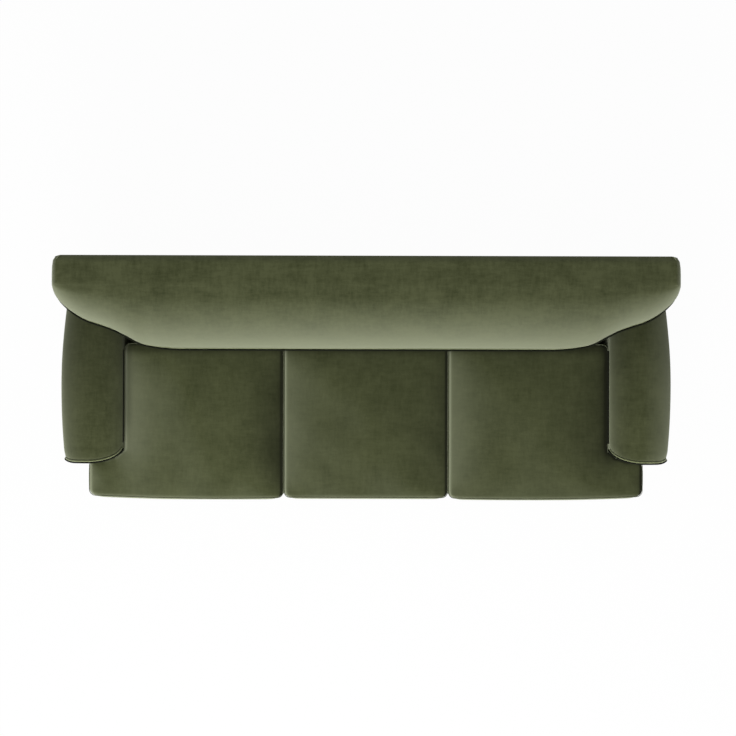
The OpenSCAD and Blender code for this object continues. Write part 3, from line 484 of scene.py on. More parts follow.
# Inside back: one padded form with flared wings. wingShares is half the plan outline, as shares of the half
# width and of the depth
back = {
    "crownAngles": (18, 36, 54, 72, 90), "crestY": 0.345, "crestNarrow": 0.975, "tuck": 0.026,
    "rollZ": 0.560, "midTop": 0.605, "wingLow": 0.6466, "wingTop": 0.6916, "lowHalf": 0.8987,
    "lowMore": 0.0100, "ramp": 0.1145, "outlineDepth": 0.33, "rearShare": 0.982, "sideFrom": 0.9,
    "midBack": 0.006, "rearRoll": 0.024, "rearDrop": 0.010, "rearFrom": 0.9, "rearReach": 0.1,
    "wave": (0.0012, 0.45, 7),
    "columns": 230, "rowsLow": 22, "rowsHigh": 46, "capRows": 12, "capPower": 1.6,
    "wingShares": ((0, 0), (0.3, 0), (0.55, 0), (0.64, 0.004), (0.7, 0.03), (0.735, 0.066), (0.77, 0.144),
                   (0.81, 0.227), (0.855, 0.288), (0.903, 0.346), (0.958, 0.466), (0.9905, 0.594), (1, 0.72),
                   (1, 0.86), (0.996, 0.955), (0.982, 1)),
}


def wingShare(x):
    # 0 over the seat, 1 over the arms, with a straight change between
    return np.clip(1 - (back["lowHalf"] - np.abs(x)) / back["ramp"], 0, 1)


def backOutline():
    # plan outline as shares of half width and depth, evenly spread along its length
    half = np.array(back["wingShares"])
    shares = np.concatenate([half[:0:-1] * [-1, 1], half])
    run = runAlong(shares * [sofa["halfWidth"], back["outlineDepth"]])
    fine = np.linspace(0, run[-1], back["columns"])
    return np.clip(smoothRows(shares, run, fine), [-1, 0], 1), fine / run[-1]


def backRows():
    # the levels of the padding: outline share s at height z gives x = half width s, y between front and rear
    shares, run = backOutline()
    flatX = shares[:, 0] * sofa["halfWidth"]
    wide = wingShare(flatX)
    seam, roll = sofa["seamZ"], back["rollZ"]
    levels = [(sofa["deckZ"], sofa["deckZ"], back["tuck"]), (seam, seam, back["tuck"]),
              (mix(seam, roll, 0.3), roll, back["tuck"] / 3),
              (mix(seam, roll, 0.5), back["wingLow"] - sofa["gap"], 0),
              (roll, back["wingLow"], 0), (back["midTop"], back["wingTop"], 0)]
    rows = []
    for k, (mid, wing, tuck) in enumerate(levels):
        z = mix(mid, wing, wide)
        half = back["lowHalf"] + back["lowMore"] if k < 4 else sofa["halfWidth"]
        front = sofa["backFrontY"] + tuck + back["midBack"] * (1 - wide)
        rows.append(coords(np.clip(flatX, -half, half), mix(front, clothRear(z), shares[:, 1]), z))
    baseX, baseY, baseZ = rows[-1].T
    topX, topY = baseX * back["crestNarrow"], np.maximum(baseY, back["crestY"])
    atRear = ease((shares[:, 1] - back["rearFrom"]) / back["rearReach"])
    for angle in np.radians(back["crownAngles"]):
        over = 1 - np.cos(angle)
        z = mix(baseZ, sofa["topZ"], np.sin(angle))
        y = mix(mix(baseY, topY, over), clothRear(z), atRear)
        rows.append(coords(mix(baseX, topX, over), y, z))
    return np.array(rows), shares, run, wide


def makeBack():
    rows, shares, run, wide = backRows()
    # below and above the wings apart, and both together over the seat, blended by the wing share
    knots = runAlong(rows[:, back["columns"] // 2])
    lowFine = np.linspace(knots[0], knots[3], back["rowsLow"])
    highFine = np.linspace(knots[4], knots[-1], back["rowsHigh"])
    apart = np.concatenate([smoothRows(rows[:4], knots[:4], lowFine),
                            smoothRows(rows[4:], knots[4:], highFine)])
    whole = smoothRows(rows, knots, np.concatenate([lowFine, highFine]))
    body = mix(whole, apart, ease(wide)[None, :, None])
    # flat top: each column goes on to the rear line, which the end columns share evenly
    first = np.abs(shares[:, 0]) < back["sideFrom"]
    order = np.abs(run - 0.5)
    reach = order[first].max()
    spread = mix(back["sideFrom"], back["rearShare"], np.clip((order - reach) / (0.5 - reach), 0, 1))
    rearX = np.where(first, shares[:, 0], np.sign(shares[:, 0]) * spread)
    rearX = rearX * sofa["halfWidth"] * back["crestNarrow"]
    rearEdge, low = (coords(rearX, clothRear(z), z) for z in (sofa["topZ"], sofa["deckZ"]))
    t = (1 - (1 - np.linspace(0, 1, back["capRows"])[1:]) ** back["capPower"])[:, None, None]
    cap = mix(body[-1:], rearEdge[None], t)
    near = np.clip(1 - (rearEdge[0, 1] - cap[..., 1]) / back["rearRoll"], 0, 1)
    cap[..., 2] -= back["rearDrop"] * near**2
    half = back["lowHalf"] + back["lowMore"]
    low[:, 0] = np.clip(low[:, 0], -half, half)
    grid = np.concatenate([body, cap, low[None]])
    grid[1:len(body), :, 1] += ripple(grid[1:len(body)], *back["wave"]) * (1 - shares[:, 1] ** 2)[None]
    count, cols = grid.shape[:2]
    ends = [[r * cols for r in range(count)], [r * cols + cols - 1 for r in reversed(range(count))]]
    piece = putPiece("insideBack", grid, gridFaces(count, cols, wrapRows=True), backVelvet,
                     hides=["inside_back_cover", "back_foam"], sharp=50, extra=ends)


makeBack()
print("back made")

# Arms: the roll and its front panel; each shrinks from its outline towards a centre in x and z
arm = {
    "mid": 1.0125, "rollZ": 0.560, "rollA": 0.1135, "rollUp": 0.080, "rollDown": 0.060, "lowZ": 0.3003,
    "bow": 0.020, "bowY": -0.039, "bowReach": 0.312, "frontY": -0.292, "cornerStart": 1.0172,
    "cornerX": 0.120, "cornerY": 0.052, "curveStart": 1.06925, "outerCurve": 0.017, "endZ": 0.480,
    "centre": (0.9925, 0.50), "edgeRound": 0.003, "edgeReach": 0.034, "edgeDrop": 0.0045,
    "wave": (0.0012, 0.30, 11), "pullIn": 0.0008, "stations": 90, "around": 84, "innerRows": 12,
    "panelCentre": (0.9775, 0.50), "panelRings": 14, "panelPuff": 0.003, "panelEdge": 0.985,
    "panelFront": 0.0008, "panelRear": 0.0018, "panelCore": 0.02, "stationPower": 1.15,
    "waveFrom": 0.03, "waveReach": 0.1, "waveAbove": 0.012, "waveRise": 0.04,
}


def armOut(y):
    # outer reach of the roll: a parabola about its widest depth
    return arm["rollA"] - arm["bow"] * ((y - arm["bowY"]) / arm["bowReach"]) ** 2


def armFront(x):
    # front of the arm: an ellipse at the inner corner and a parabola at the outer end
    start, stop = arm["cornerStart"], arm["curveStart"]
    inner = arm["cornerY"] * (1 - np.sqrt(np.clip(1 - ((start - x) / arm["cornerX"]) ** 2, 0, 1)))
    outer = arm["outerCurve"] * ((x - stop) / (arm["rollA"] / 2)) ** 2
    return arm["frontY"] + np.where(x < start, inner, 0) + np.where(x > stop, outer, 0)


def armSection(y, lowZ, outZ, count):
    # up the inner face, over the elliptical roll and down to the outer panel, for an array of depths
    start = pi + np.arccos((arm["mid"] - sofa["seatHalf"]) / arm["rollA"])
    stop = -np.arccos((sofa["baseHalf"] - arm["mid"]) / arm["rollA"])
    angle = np.linspace(start, stop, count)[None]
    a = np.where(np.cos(angle) > 0, armOut(y)[:, None], arm["rollA"])
    b = np.where(np.sin(angle) > 0, arm["rollUp"], arm["rollDown"])
    rollX = arm["mid"] + a * np.cos(angle)
    outerLow = (np.sin(angle) < 0) & (np.cos(angle) > 0)
    rollX = np.where(outerLow, np.maximum(rollX, sofa["baseHalf"]), rollX)
    rollZ = arm["rollZ"] + b * np.sin(angle) + 0 * a
    rise = np.linspace(0, 1, arm["innerRows"], endpoint=False)[None]
    innerZ = mix(lowZ, rollZ[:, :1], rise)
    innerX = np.full_like(innerZ, sofa["seatHalf"])
    outerX = np.full((len(y), 1), sofa["baseHalf"])
    outerZ = np.full((len(y), 1), outZ)
    return np.concatenate([innerX, rollX, outerX], axis=1), np.concatenate([innerZ, rollZ, outerZ], axis=1)


def makeArm(side, label):
    t = np.linspace(0, 1, arm["stations"]) ** arm["stationPower"]
    y0 = mix(arm["frontY"], clothRear(arm["rollZ"]), t)
    x, z = armSection(y0, arm["lowZ"], arm["endZ"], arm["around"])
    y = mix(armFront(x), clothRear(z) - sofa["gap"], t[:, None])
    # the cloth turns in round the front edge, a quarter circle deep, after a slow fall towards it
    behind = y - armFront(x)
    d = np.clip(behind / arm["edgeRound"], 0, 1)
    turn = arm["edgeRound"] * (1 - np.sqrt(1 - (1 - d) ** 2))
    turn = turn + arm["edgeDrop"] * (1 - np.clip(behind / arm["edgeReach"], 0, 1)) ** 2
    away = unitRows(coords(x, z) - arm["centre"])
    points = coords(x - away[..., 0] * turn, y, z - away[..., 1] * turn)
    # waves and a slight pull inwards on the roll only, as the flat sides lie close on the frame
    wave = ripple(points, *arm["wave"]) * ease((t[:, None] - arm["waveFrom"]) / arm["waveReach"])
    shift = (wave - arm["pullIn"]) * ease((z - arm["endZ"] - arm["waveAbove"]) / arm["waveRise"])
    points[..., [0, 2]] += away * shift[..., None]
    points[..., 0] *= side
    rows, cols = points.shape[:2]
    ends = [list(range(cols)), [(rows - 1) * cols + c for c in reversed(range(cols))]]
    piece = putPiece(f"armCover_{label}", points, gridFaces(rows, cols, wrapCols=True), armVelvet[side],
                     hides=[f"arm_cover_{label}", f"arm_foam_{label}"], sharp=50, extra=ends)
    makeArmPanel(side, label)


def makeArmPanel(side, label):
    # rings shrink from the section's outline to its middle, and stand out as a low dome
    footZ = sofa["deckZ"] + sofa["gap"]
    x, z = armSection(np.array([arm["frontY"]]), footZ, footZ, arm["around"])
    footX = np.linspace(sofa["baseHalf"], sofa["seatHalf"], 20)[:-1]
    corner = [[sofa["baseHalf"], arm["endZ"]]]
    outline = np.concatenate([coords(x[0], z[0])[:-1], corner, coords(footX, footZ)])
    away = (outline - arm["panelCentre"])[None]
    s = np.linspace(1, 0, arm["panelRings"])[:, None, None]
    # the outer ring keeps clear of the piping, but reaches the foot below the centre
    below = (away < 0) & [False, True]
    flat = arm["panelCentre"] + away * mix(arm["panelCore"], np.where(below, 1.0, arm["panelEdge"]), s)
    y = armFront(flat[..., 0]) + arm["panelFront"] - arm["panelPuff"] * (1 - s[..., 0] ** 4)
    front = coords(flat[..., 0], y, flat[..., 1])
    rear = front[::-1].copy()
    rear[..., 1] = armFront(rear[..., 0]) + arm["panelRear"]
    points = np.concatenate([front, rear])
    points[..., 0] *= side
    faces = gridFaces(*points.shape[:2], wrapRows=True, wrapCols=True)
    piece = putPiece(f"armFrontPanel_{label}", points, faces, armVelvet[side],
                     hides=[f"arm_front_panel_{label}"], sharp=60)


for side, label in ((-1, "left"), (1, "right")):
    makeArm(side, label)
print("arms made")

# Piping along both arm fronts, painted pale as a painted highlight, and a pale cord round the back's lower
# edge that is a painted highlight line, with near-black cords beside them and in the arm crease that are
# painted shadow lines. A run is the lift, the distance out and the distance out at the ends of a cord along
# the back
welt = {
    "radius": 0.0022, "sink": 0.0006, "edge": 0.0013, "shade": 0.0036, "creaseShade": 0.0050, "shadeOut": 0.00636,
    "shadeIn": 0.0015, "edgeRun": (0.0050, 0.0003, -0.0006), "shadeRun": (-0.0014, 0.0054, 0.0006),
    "endRise": 0.046, "endFrom": 1.05, "endReach": 0.06, "creaseEnd": 0.012, "creaseDrop": 0.012,
    "creaseLeft": 0.0012, "creaseRight": -0.0016,
}


def armWelt(side, out, inset):
    # along the section's outline, moved along the plan normal of the front line and in from the outline
    x, z = armSection(np.array([arm["frontY"]]), arm["lowZ"], arm["endZ"], 90)
    x, z = x[0, arm["innerRows"]:-1], z[0, arm["innerRows"]:-1]
    u = np.clip((arm["cornerStart"] - x) / arm["cornerX"], 0, 0.999)
    slope = -arm["cornerY"] / arm["cornerX"] * u / np.sqrt(1 - u * u)
    slope = slope + 2 * arm["outerCurve"] * np.clip(x - arm["curveStart"], 0, None) / (arm["rollA"] / 2) ** 2
    normal = unitRows(coords(slope, -1.0)) * out
    away = unitRows(coords(x, z) - arm["centre"]) * (arm["edgeDrop"] + inset)
    return coords((x + normal[:, 0] - away[:, 0]) * side, armFront(x) + normal[:, 1], z - away[:, 1])


def armCrease(side, shift):
    # under the roll where it leans over the cushion, from the back to the inner corner of the arm's front;
    # the path of a painted shadow cord
    y = np.linspace(sofa["backFrontY"], arm["frontY"] + arm["cornerY"] + welt["creaseEnd"], 40)
    return coords((arm["mid"] - arm["rollA"] + shift) * side, y, arm["rollZ"] - welt["creaseDrop"])


def backEdge(lift, out, endOut):
    # the lowest line of the back's padding, from one rear end round the front to the other, climbing the ends
    shares = backOutline()[0]
    x = shares[:, 0] * sofa["halfWidth"]
    wide = wingShare(x)
    atEnd = ease((np.abs(x) - welt["endFrom"]) / welt["endReach"])
    z = mix(mix(sofa["seamZ"], back["rollZ"], 0.5), back["wingLow"], wide) + lift + welt["endRise"] * atEnd
    front = sofa["backFrontY"] + back["midBack"] * (1 - wide)
    line = coords(x, mix(front, clothRear(z), shares[:, 1]), z)
    ahead = unitRows(np.gradient(line[:, :2], axis=0))
    line[:, :2] += coords(ahead[:, 1], -ahead[:, 0]) * mix(out, endOut, atEnd)[:, None]
    return line[2:-2]


putTubes("piping", [armWelt(side, welt["radius"] - welt["sink"], 0) for side in (-1, 1)], welt["radius"],
         pipingHighlightVelvet, hides=["piping"])
# a pale cord along the back's lower edge that stands for the highlight there: a painted highlight
putTubes("backEdgeHighlightCord", [backEdge(*welt["edgeRun"])], welt["edge"], pipingHighlightVelvet)
# near-black cords before the arm piping, under the back's edge and in the arm crease: painted shadow lines
shadeCords = [armWelt(side, welt["shadeOut"], welt["shadeIn"]) for side in (-1, 1)]
putTubes("paintedShadowCords", shadeCords + [backEdge(*welt["shadeRun"]), armCrease(-1, welt["creaseLeft"])],
         welt["shade"], shadowCordCloth)
putTubes("armGapShadowCord", [armCrease(1, welt["creaseRight"])], welt["creaseShade"], shadowCordCloth)
print("piping made")

# Seat cushions: sewn covers swelled by a cloth simulation. The caps are the farthest that the top, the free
# sides and the sides by a neighbour may move, and the fill rounds a T cushion's concave corner
cushion = {
    "middleHalf": 0.309, "rearY": 0.1417, "edgeNear": 0.0019, "frontIn": 0.0068, "earIn": 0.0070,
    "corner": 0.022, "frontBack": 0.0030, "middleBack": 0.0040, "bow": 0.008, "frontBulge": 0.007,
    "earHalf": 1.046, "earY": -0.3025, "fill": 0.293, "fillShare": 0.9, "fillReach": 0.12,
    "step": 0.0125, "levels": 11, "lowZ": 0.3201, "highZ": 0.4520, "puff": 0.0003, "rest": 0.0004,
    "capTop": 0.028, "quickReach": 0.035, "capSide": 0.0098, "capNear": 0.0012, "gain": 4.0, "frames": 20,
    "wave": (0.0010, 0.22), "seamRadius": 0.0012, "seamOut": 0.0004,
}
clothPull = {
    "quality": 6, "mass": 0.25, "tension_stiffness": 12, "compression_stiffness": 12, "shear_stiffness": 6,
    "bending_stiffness": 0.6, "use_pressure": True, "uniform_pressure_force": 4.0,
    "vertex_group_mass": "seams", "pin_stiffness": 1.0,
}


def cushionLattice(kind):
    # columns and rows of the cover's cloth, and the last ones before the notch behind the ear
    half, near = cushion["middleHalf"], cushion["edgeNear"]
    y0, y1 = sofa["frontY"] + cushion["frontIn"], cushion["rearY"] - near
    span = lambda a, b: np.linspace(a, b, max(2, int(round((b - a) / cushion["step"])) + 1))
    if kind == "middle":
        xs, ys = span(-half + near, half - near), span(y0 + cushion["middleBack"], y1)
        return xs, ys, len(xs) - 1, len(ys) - 1
    x1, xe, ye = sofa["seatHalf"] - near, cushion["earHalf"] - cushion["earIn"], cushion["earY"]
    xs, ys = span(half + near, x1), span(y0, ye)
    return (np.concatenate([xs, span(x1, xe)[1:]]), np.concatenate([ys, span(ye, y1)[1:]]),
            len(xs) - 1, len(ys) - 1)


def roundCorner(x, y, cx, cy, sx, sy, r):
    # square rings about a corner become arcs about the same centre, radius r less their depth
    a, b = (cx - x) * sx, (cy - y) * sy
    near = (a < r) & (b < r) & (a > -1e-9) & (b > -1e-9)
    m = np.minimum(a, b)
    deep = np.maximum(r - m, 1e-9)
    turn = np.where(a <= b, (r - b) / deep, 2 - (r - a) / deep) * pi / 4
    px = cx - sx * (r - (r - m) * np.cos(turn))
    py = cy - sy * (r - (r - m) * np.sin(turn))
    return np.where(near, px, x), np.where(near, py, y)


def cushionPlan(kind):
    xs, ys, colEar, rowEar = cushionLattice(kind)
    x, y = np.meshgrid(xs, ys)
    inside = np.ones(x.shape, dtype=bool)
    r = cushion["corner"]
    lowX, highX, earX = xs[[0, colEar, -1]]
    lowY, earY, highY = ys[[0, rowEar, -1]]
    if kind == "side":
        inside[rowEar + 1:, colEar + 1:] = False
        # concave corner: it is filled out along the arm's rounded front
        fillX, fillY = arm["cornerX"] * cushion["fillShare"], arm["cornerY"]
        upSide = np.clip((y - earY) / fillY, 0, 1)
        outSide = np.clip((x - highX) / fillX, 0, 1)
        share = np.clip(1 - np.maximum(upSide, outSide), 0, 1)
        depth = np.hypot(np.clip(highX - x, 0, None), np.clip(earY - y, 0, None))
        fade = ease(1 - depth / cushion["fillReach"]) * ease(share) * cushion["fill"]
        x, y = x + fade * fillX * (1 - upSide), y + fade * fillY * (1 - outSide)
    corners = ((lowX, lowY, -1, -1), (lowX, highY, -1, 1), (highX, highY, 1, 1), (earX, lowY, 1, -1))
    for cx, cy, sx, sy in corners:
        x, y = roundCorner(x, y, cx, cy, sx, sy, r)
    if kind == "side":
        x, y = roundCorner(x, y, earX, earY, 1, 1, r / 2)
        t = np.clip((x - lowX) / (earX - lowX), 0, 1)
        bow = cushion["frontBack"] + cushion["bow"] * t - cushion["frontBulge"] * 4 * t * (1 - t)
        y = y + bow * ease((earY - y) / (earY - lowY))
    return x, y, inside, colEar, rowEar


def rimOrder(rows, cols, colEar, rowEar):
    # the lattice points of the rim, counter-clockwise from the first corner
    path = [(0, c) for c in range(cols)] + [(r, cols - 1) for r in range(1, rowEar + 1)]
    path += [(rowEar, c) for c in range(cols - 2, colEar - 1, -1)]
    path += [(r, colEar) for r in range(rowEar + 1, rows)]
    path += [(rows - 1, c) for c in range(colEar - 1, -1, -1)] + [(r, 0) for r in range(rows - 2, 0, -1)]
    return np.array(path)


def cushionShell(kind, side):
    # top and bottom panels on the lattice, joined round the rim by the boxing
    x, y, inside, colEar, rowEar = cushionPlan(kind)
    count = int(inside.sum())
    index = np.full(inside.shape, -1)
    index[inside] = np.arange(count)
    flat = coords(x[inside], y[inside])
    top, bottom = (coords(*flat.T, z) for z in (cushion["highZ"], cushion["lowZ"]))
    quad = coords(index[:-1, :-1], index[:-1, 1:], index[1:, 1:], index[1:, :-1]).reshape(-1, 4)
    quad = quad[(quad >= 0).all(axis=1)]
    rim = rimOrder(*inside.shape, colEar, rowEar)
    rimIds = index[rim[:, 0], rim[:, 1]]
    line = flat[rimIds]
    ahead = unitRows(np.roll(line, -1, axis=0) - np.roll(line, 1, axis=0))
    outward = coords(ahead[:, 1], -ahead[:, 0])
    level = np.linspace(1, 0, cushion["levels"] + 1)[1:-1]
    xy = line[None] + outward[None] * (cushion["puff"] * np.sin(pi * level))[:, None, None]
    z = mix(cushion["lowZ"], cushion["highZ"], level)[:, None]
    boxing = coords(xy[..., 0], xy[..., 1], z).reshape(-1, 3)
    between = 2 * count + np.arange(len(boxing)).reshape(-1, len(rimIds))
    rings = np.concatenate([rimIds[None], between, (count + rimIds)[None]])
    after = np.roll(rings, -1, axis=1)
    walls = coords(rings[:-1], rings[1:], after[1:], after[:-1]).reshape(-1, 4)
    points = np.concatenate([top, bottom, boxing])
    faces = np.concatenate([quad, quad[:, ::-1] + count, walls])
    points[:, 0] *= side
    if side < 0:
        faces = faces[:, ::-1]
    seam = np.concatenate([rimIds, rimIds + count])
    return points, faces, seam, count, rimIds, outward * [side, 1]


def swell(piece, rest, seam, limit, gain):
    # cloth under pressure, its seams held; how far a point moves is scaled by gain and then capped
    group = piece.vertex_groups.new(name="seams")
    group.add(seam.tolist(), 1.0, "REPLACE")
    cloth = piece.modifiers.new("cloth", "CLOTH")
    for key, value in clothPull.items():
        setattr(cloth.settings, key, value)
    cloth.settings.effector_weights.gravity = 0
    cloth.collision_settings.use_collision = False
    cloth.point_cache.frame_start, cloth.point_cache.frame_end = 1, cushion["frames"]
    for f in range(1, cushion["frames"] + 1):
        scene.frame_set(f)
    shaped = piece.evaluated_get(bpy.context.evaluated_depsgraph_get())
    moved = np.empty(len(rest) * 3, dtype=np.float32)
    shaped.to_mesh().vertices.foreach_get("co", moved)
    shaped.to_mesh_clear()
    piece.modifiers.remove(cloth)
    scene.frame_set(1)
    shift = moved.reshape(-1, 3) - rest
    far = np.linalg.norm(shift, axis=1, keepdims=True)
    return rest + shift / np.maximum(far, 1e-9) * limit * np.tanh(gain * far / limit)


def makeCushion(label, kind, side):
    points, faces, seam, count, rimIds, outward = cushionShell(kind, side)
    piece, mesh = newPiece(f"seatCushion_{label}", points.tolist(), faces.tolist())
    # the boxing bulges less where it meets a neighbour, an arm or the back
    free = outward[:, 1] < -0.5
    if kind == "side":
        free = free | ((outward[:, 0] * side > 0.5) & (points[rimIds, 0] * side > 1.0))
    free = np.concatenate([np.zeros(2 * count, dtype=bool), np.tile(free, cushion["levels"] - 1)])
    gain = np.where(free, cushion["gain"], 1.0)
    limit = np.where(free, cushion["capSide"], cushion["capNear"])
    limit[:count] = cushion["capTop"]
    shaped = swell(piece, points, seam, limit[:, None], gain[:, None])
    # it rests flat on the deck, and the boxing stays within its own space
    shaped[:, 2] = np.maximum(shaped[:, 2], cushion["lowZ"] + cushion["rest"])
    shaped[:, 1] = np.maximum(shaped[:, 1], sofa["frontY"] + sofa["gap"])
    shaped[:count, 2] += ripple(shaped[:count], *cushion["wave"], 20 + len(label))
    mesh.vertices.foreach_set("co", shaped.astype(np.float32).ravel())
    mesh.update()
    # one subdivision
    bpy.context.view_layer.objects.active = piece
    piece.modifiers.new("finer", "SUBSURF").levels = 1
    piece.modifiers["finer"].render_levels = 1
    mesh.shade_smooth()
    mesh.materials.append(seatVelvet[label])
    body = f"seat_cushion_{label}"
    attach(piece, body)
    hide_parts(f"cushion_cover_{label}", f"cushion_core_{label}")
    rims = []
    for ids in (rimIds, rimIds + count):
        line = points[ids].copy()
        line[:, :2] += outward * cushion["seamOut"]
        rims.append(np.concatenate([line, line[:2]]))
    putTubes(f"seatSeams_{label}", rims, cushion["seamRadius"], seatSeam, body, sides=6)
    print("cushion made", label)


def putBoxes(name, boxes, material, body, hides=()):
    # separate boxes, each given as low and high corners, in one piece
    unit = np.array([[0, 0, 0], [1, 0, 0], [1, 1, 0], [0, 1, 0], [0, 0, 1], [1, 0, 1], [1, 1, 1], [0, 1, 1]])
    quads = np.array([[0, 3, 2, 1], [4, 5, 6, 7], [0, 1, 5, 4], [1, 2, 6, 5], [2, 3, 7, 6], [3, 0, 4, 7]])
    boxes = np.asarray(boxes, dtype=float)
    points = boxes[:, 0, None] + unit[None] * (boxes[:, 1] - boxes[:, 0])[:, None]
    faces = quads[None] + 8 * np.arange(len(boxes))[:, None, None]
    putPiece(name, points, faces.reshape(-1, 4), material, body, hides, 30)


zipper = {
    "half": 0.155, "lowZ": 0.3790, "highZ": 0.4110, "inY": 0.1400, "tapeY": 0.1414, "teethY": 0.1417,
    "pitch": 0.0032, "tooth": 0.0018, "toothHalf": 0.003, "sink": 0.0005,
    "sliderFrom": 0.014, "sliderTo": 0.003, "sliderHalf": 0.005, "sliderOut": 0.0001,
    "teethFrom": 0.004, "teethTo": 0.016,
}


def makeZip(label, middle):
    z = (zipper["lowZ"] + zipper["highZ"]) / 2
    x0, x1 = middle - zipper["half"], middle + zipper["half"]
    body = f"seat_cushion_{label}"
    tape = [[(x0, zipper["inY"], zipper["lowZ"]), (x1, zipper["tapeY"], zipper["highZ"])]]
    putBoxes(f"zipTape_{label}", tape, zipTape, body, [f"cushion_zip_{label}"])
    inner, outer, half = zipper["tapeY"] - zipper["sink"], zipper["teethY"], zipper["toothHalf"]
    teeth = [[(x, inner, z - half), (x + zipper["tooth"], outer, z + half)]
             for x in np.arange(x0 + zipper["teethFrom"], x1 - zipper["teethTo"], zipper["pitch"])]
    half = zipper["sliderHalf"]
    teeth.append([(x1 - zipper["sliderFrom"], inner, z - half),
                  (x1 - zipper["sliderTo"], outer + zipper["sliderOut"], z + half)])
    putBoxes(f"zipTeeth_{label}", teeth, nylon, body)


sideMiddle = (cushion["middleHalf"] + sofa["seatHalf"]) / 2
for label, kind, side in (("left", "side", -1), ("middle", "middle", 1), ("right", "side", 1)):
    makeCushion(label, kind, side)
    makeZip(label, 0 if kind == "middle" else sideMiddle * side)

# Stretched cloth panels: outside back, outside arms, front border, deck and dust cover
panel = {
    "wingEdge": ((1.0797, 0.530), (1.0960, 0.560)), "lowTurn": 0.500, "crestTurn": 0.815, "crestZ": 0.848,
    "backHeight": 0.721, "armStepY": -0.2865, "armTopZ": 0.4797, "armFlat": (0.84, 0.35),
    "borderTopZ": 0.3178, "borderFlat": (2.074, 0.1878), "deckWide": 1.035, "deckNarrow": 0.9097,
    "deckRearY": 0.190, "deckClear": 0.0015, "deckFlat": (2.07, 0.620),
    "dust": {"low": (-1.035, -0.420), "high": (1.035, 0.3754), "thick": 0.001, "hole": 0.0303,
             "legs": ((-0.973, -0.358), (0.973, -0.358), (-0.973, 0.3134), (0.973, 0.3134), (0, 0))},
}


def slabPiece(name, outline, flatTo3d, material, hides):
    # a flat outline with a front and a back face; flatTo3d takes the outline's two measures and the depth
    # behind the front
    outline = np.asarray(outline, dtype=float)
    points = np.array([flatTo3d(u, v, depth) for depth in (0.0, sofa["cloth"]) for u, v in outline])
    n = len(outline)
    i = np.arange(n)
    walls = coords(i, (i + 1) % n, (i + 1) % n + n, i + n)
    piece = putPiece(name, points, walls, material, hides=hides, sharp=30,
                     extra=[list(range(n)), list(range(2 * n - 1, n - 1, -1))])


def mirrored(half):
    return half + [(-x, v) for x, v in reversed(half)]


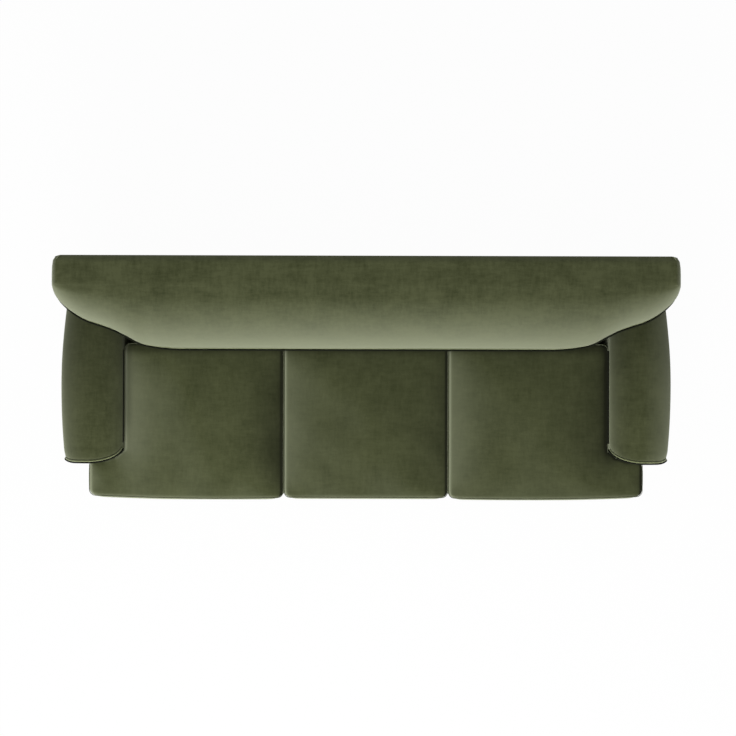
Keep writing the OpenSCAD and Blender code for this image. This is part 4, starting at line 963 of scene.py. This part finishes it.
def makePanels():
    cloth, gap, baseZ, deckZ = sofa["cloth"], sofa["gap"], sofa["baseZ"], sofa["deckZ"]
    baseHalf, frontY = sofa["baseHalf"], sofa["baseFrontY"]
    # outside back, on the raked plane
    rearHalf = sofa["halfWidth"] * back["rearShare"]
    half = [(baseHalf, baseZ), (baseHalf, panel["lowTurn"]), *panel["wingEdge"],
            (rearHalf, back["wingLow"]), (rearHalf, panel["crestTurn"]),
            (rearHalf * back["crestNarrow"], panel["crestZ"])]
    slabPiece("outsideBack", mirrored(half), lambda u, v, w: (u, rearLine(v) - w, v), velvet,
              ["outside_back_cover"])
    # outside arm and base panels
    armTop, armStep, front = panel["armTopZ"], panel["armStepY"], frontY + cloth
    outline = [(front, baseZ), (clothRear(baseZ) - gap, baseZ), (clothRear(armTop) - gap, armTop),
               (armStep, armTop), (armStep, deckZ), (front, deckZ)]
    for side, label in ((-1, "left"), (1, "right")):
        slabPiece(f"outsideArmPanel_{label}", outline, lambda u, v, w: (side * (baseHalf - w), u, v), velvet,
                  [f"outside_arm_panel_{label}"])
    # front border
    outline = [(-baseHalf, baseZ), (baseHalf, baseZ),
               (baseHalf, panel["borderTopZ"]), (-baseHalf, panel["borderTopZ"])]
    slabPiece("frontBorder", outline, lambda u, v, w: (u, frontY + w, v), velvet,
              ["front_border_cover"])
    # deck cloth under the cushions, behind the arm fronts' curve
    wide, narrow = panel["deckWide"], panel["deckNarrow"]
    half = [(wide, frontY)]
    half += [(x, float(armFront(x)) + panel["deckClear"]) for x in np.linspace(wide, narrow, 14)]
    half.append((narrow, panel["deckRearY"]))
    slabPiece("deckCloth", mirrored(half), lambda u, v, w: (u, v, deckZ - cloth + w), twill,
              ["deck_cloth"])


def makeDustCover():
    # black cloth under the frame, cut round the legs
    cover = panel["dust"]
    low, high, z = cover["low"], cover["high"], sofa["baseZ"]
    turn = np.linspace(0, 2 * pi, 24, endpoint=False)
    loops = [np.array([low, (high[0], low[1]), high, (low[0], high[1])])]
    loops += [coords(x, y) + cover["hole"] * coords(np.cos(turn), np.sin(turn)) for x, y in cover["legs"]]
    flat = np.concatenate(loops)
    count = len(flat)
    points = np.concatenate([coords(*flat.T, level) for level in (z, z - cover["thick"])])
    top = np.array(tessellate_polygon([[Vector((x, y, 0)) for x, y in loop] for loop in loops]))
    a, b, c = (flat[top[:, k]] for k in range(3))
    turned = np.cross(b - a, c - a) < 0
    top[turned] = top[turned][:, ::-1]
    faces = top.tolist() + (top[:, ::-1] + count).tolist()
    first = 0
    for n in map(len, loops):
        p = first + np.arange(n)
        q = np.roll(p, -1)
        faces += coords(q, p, p + count, q + count).tolist()
        first += n
    piece = putPiece("dustCover", points, faces, blackCloth, hides=["dust_cover"], sharp=30)
    size = np.subtract(high, low)
    holes = len(cover["legs"]) * pi * cover["hole"] ** 2
    float(size.prod() - holes)


makePanels()
makeDustCover()
print("panels made")

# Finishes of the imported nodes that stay
finishes = {
    "leg_wood": legWood, "frame_wood": pine, "steel": steel, "glide_plastic": nylon, "foam": foam,
    "felt": felt, "jute": juteCloth, "dust_cloth": blackCloth, "zip": zipTape, "velvet": velvet,
    "velvet_welt": pipingHighlightVelvet, "deck_twill": twill,
}
for row in frame["record"]["subparts"]:
    cad = bpy.data.objects.get(row["node"])
    if cad is not None:
        cad.data.materials.clear()
        cad.data.materials.append(finishes[row["material_slot"]])
print("finishes given")
